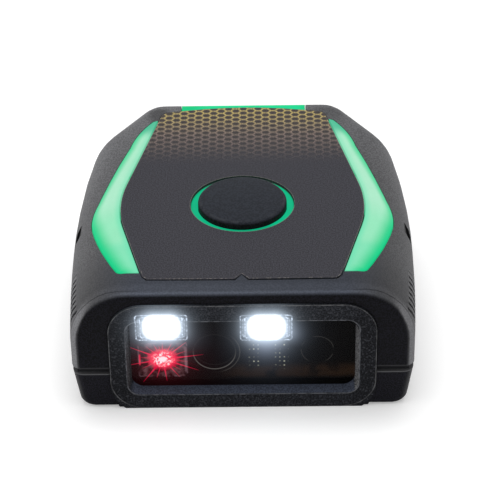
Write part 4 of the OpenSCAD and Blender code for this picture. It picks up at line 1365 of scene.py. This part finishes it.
class SCANNER_OT_window(bpy.types.Operator):
    """Dress the window, its frame and its seal"""

    bl_idname = "scanner.window"
    bl_label = "Window"

    def execute(self, context):
        look, light = context.scene.scanner_housing, context.scene.scanner_light
        rubber = made_once("grained_rubber", grained_rubber, look, light)
        dressed("window_bezel", "window_frame", rubber)
        pane = made_once("window_pane", window_pane, light)
        dressed("scan_window", "window_pane", pane)
        painted("window_gasket", made_once("seal_rubber", soft_rubber, SEAL_BLACK))
        return {"FINISHED"}


class SCANNER_OT_optics(bpy.types.Operator):
    """Dress the scan engine behind the window, with its lamps and lenses"""

    bl_idname = "scanner.optics"
    bl_label = "Scan engine"

    def execute(self, context):
        look = context.scene.scanner_light
        black = made_once("engine_black", moulding)
        dressed("engine_chassis", "engine_body", black)
        dressed("side_optic", "side_optic_body", black)
        dressed("lens_barrel", "camera_barrel", black)
        lens = made_once("lamp_lens", lamp_lens, look)
        dressed("left_light_lens", "left_lamp_block", lens)
        dressed("right_light_lens", "right_lamp_block", lens)
        aimer = made_once("aimer_glass", aimer_glass, look)
        dressed("aimer_lens", "aimer_block", aimer)
        clear = made_once("clear_block", clear_block)
        dressed("lower_light_lens", "lower_block", clear)
        violet, brown = (0.006, 0.006, 0.008), (0.010, 0.007, 0.005)
        camera = made_once("camera_glass", dark_optic, CAMERA, CAMERA_RADIUS, violet)
        dressed("camera_lens", "camera_glass", camera)
        side = made_once("side_glass", dark_optic, SIDE_OPTIC, SIDE_OPTIC_RADIUS, brown)
        dressed("side_lens", "side_glass", side)
        painted("white_leds", made_once("white_lamp", lit_lamp, (1.0, 0.98, 0.95), 1.0))
        painted("aimer_led", made_once("red_lamp", lit_lamp, (1.0, 0.05, 0.08), 1.0))
        painted("image_sensor", made_once("sensor", sheet_metal, (0.05, 0.06, 0.08), 0.2))
        painted("engine_bracket", black)
        painted("engine_board", made_once("circuit_board", circuit_board))
        return {"FINISHED"}


class SCANNER_OT_electronics(bpy.types.Operator):
    """Dress the main board, what stands on it and the cable to it"""

    bl_idname = "scanner.electronics"
    bl_label = "Main board"

    def execute(self, context):
        painted("main_board", made_once("circuit_board", circuit_board))
        tin = made_once("tinned_steel", sheet_metal, (0.60, 0.60, 0.58), 0.35)
        painted("radio_shield", tin)
        painted("vibration_motor", tin)
        painted("buzzer", made_once("switch_black", moulding))
        painted("status_leds", made_once("green_lamp", lit_lamp, (0.05, 0.8, 0.4), 1.5))
        painted("flex_cable", made_once("flex_film", flex_film))
        black = made_once("engine_black", moulding)
        dressed("contact_holder", "contact_block", black)
        gold = made_once("gold", sheet_metal, (0.86, 0.61, 0.25), 0.25)
        dressed("charging_contacts", "contact_pins", gold)
        return {"FINISHED"}


class SCANNER_OT_battery(bpy.types.Operator):
    """Dress the battery and the foam that it lies on"""

    bl_idname = "scanner.battery"
    bl_label = "Battery"

    def execute(self, context):
        painted("battery", made_once("foil_pouch", foil_pouch))
        painted("battery_pad", made_once("foam", foam))
        return {"FINISHED"}


class SCANNER_OT_fasteners(bpy.types.Operator):
    """Dress the screws"""

    bl_idname = "scanner.fasteners"
    bl_label = "Screws"

    def execute(self, context):
        steel = made_once("screw_steel", sheet_metal, (0.16, 0.16, 0.17), 0.35)
        dressed("housing_screws", "shell_screws", steel)
        painted("board_screws", steel)
        painted("engine_screws", steel)
        return {"FINISHED"}


class SCANNER_OT_stage(bpy.types.Operator):
    """Set the floor, the sky, the lamps and the camera"""

    bl_idname = "scanner.stage"
    bl_label = "Stage"

    def execute(self, context):
        look = context.scene.scanner_stage
        scene = context.scene
        scene.view_settings.view_transform = "Standard"

        bpy.ops.object.select_all(action="DESELECT")
        just_below = (0.0, 0.0, -0.00002)  # so that the foot and the floor don't share a plane
        bpy.ops.mesh.primitive_plane_add(size=6.0, location=just_below)
        floor = context.active_object
        floor.name = "floor"
        give(floor, made_once("floor", floor_paint, look))

        world = bpy.data.worlds.new("sky")
        world.use_nodes = True
        scene.world = world
        sky_paint(world.node_tree, look)

        lamps = (
            # Name, place, size and power
            ("overhead", (0.0, 0.10, 0.62), 0.55, look.key_power),
            ("left_side", (-0.50, 0.05, 0.30), 0.35, look.key_power * 0.30),
            ("right_side", (0.50, 0.05, 0.30), 0.35, look.key_power * 0.14),
        )
        middle = Vector((0.0, 0.0, 0.01))
        for name, place, size, power in lamps:
            bpy.ops.object.light_add(type="AREA", location=place)
            lamp = context.active_object
            lamp.name = name
            lamp.data.shape = "SQUARE"
            lamp.data.size = size
            lamp.data.energy = power
            aim = middle - Vector(place)
            lamp.rotation_euler = aim.to_track_quat("-Z", "Y").to_euler()

        bpy.ops.object.camera_add(location=look.camera_place, rotation=look.camera_turn)
        camera = context.active_object
        camera.name = "camera"
        camera.data.sensor_width = 36.0
        camera.data.lens = look.camera_lens
        camera.data.clip_start, camera.data.clip_end = 0.01, 20.0
        scene.camera = camera
        return {"FINISHED"}


def seen(tree):
    """1 for rays that show the background: those from the camera, mirrors and clear things."""
    path = tree.nodes.new("ShaderNodeLightPath")
    return largest(
        Value(tree, path.outputs[name])
        for name in ("Is Camera Ray", "Is Glossy Ray", "Is Transmission Ray")
    )


FLOOR_GLOW = 0.28  # the floor's own light where it is seen, which lifts it to white


def floor_paint(name, look):
    """Pale matt floor that reads as white and keeps the object's shadow, with a painted shadow in
    front of the object.
    """
    f = Finish(name, Specular_IOR_Level=0.0, Roughness=1.0)
    # Painted shadow on the floor in front of the object
    ahead = f.step(f.y, FRONT - 8.0, FRONT - 2.0) * f.step(abs(f.x), 30.0, 18.0)
    level = 0.995 + 0.01 * f.grain(30.0) - 0.13 * ahead
    f.feed("Base Color", tone(f, look.floor_colour, level))
    f.glow(tone(f, WHITE, seen(f.tree)), FLOOR_GLOW)
    return f.material


def sky_paint(tree, look):
    """Even sky: white where it is seen, at its own level where it lights."""
    back = tree.nodes["Background"]
    back.inputs["Color"].default_value = (*WHITE, 1.0)
    level = seen(tree) * (1.0 - look.sky_level) + look.sky_level
    tree.links.new(level.socket, back.inputs["Strength"])


# ---------------------------------------------------------------- add-on


class SCANNER_PT_looks(bpy.types.Panel):
    """Lists the looks and the steps that dress the scanner"""

    bl_idname = "SCANNER_PT_looks"
    bl_label = "Scanner looks"
    bl_space_type = "VIEW_3D"
    bl_region_type = "UI"
    bl_category = "Scanner"

    def draw(self, context):
        layout = self.layout
        for group, names in LOOKS:
            box = layout.box()
            for name in group.__annotations__:
                box.prop(getattr(context.scene, names), name)
        for step in STEPS:
            layout.operator(step.bl_idname)


LOOKS = (
    (HousingLook, "scanner_housing"),
    (LabelLook, "scanner_label"),
    (LightLook, "scanner_light"),
    (StageLook, "scanner_stage"),
)

STEPS = (
    SCANNER_OT_shells,
    SCANNER_OT_label,
    SCANNER_OT_guides,
    SCANNER_OT_trigger,
    SCANNER_OT_window,
    SCANNER_OT_optics,
    SCANNER_OT_electronics,
    SCANNER_OT_battery,
    SCANNER_OT_fasteners,
    SCANNER_OT_stage,
)


def register():
    for group, name in LOOKS:
        bpy.utils.register_class(group)
        setattr(bpy.types.Scene, name, bpy.props.PointerProperty(type=group))
    for step in STEPS:
        bpy.utils.register_class(step)
    bpy.utils.register_class(SCANNER_PT_looks)


def unregister():
    bpy.utils.unregister_class(SCANNER_PT_looks)
    for step in reversed(STEPS):
        bpy.utils.unregister_class(step)
    for group, name in reversed(LOOKS):
        delattr(bpy.types.Scene, name)
        bpy.utils.unregister_class(group)


def main():
    register()
    bpy.ops.scanner.shells()
    bpy.ops.scanner.label()
    bpy.ops.scanner.guides()
    bpy.ops.scanner.trigger()
    bpy.ops.scanner.window()
    bpy.ops.scanner.optics()
    bpy.ops.scanner.electronics()
    bpy.ops.scanner.battery()
    bpy.ops.scanner.fasteners()
    bpy.ops.scanner.stage()


if __name__ == "__main__":
    main()
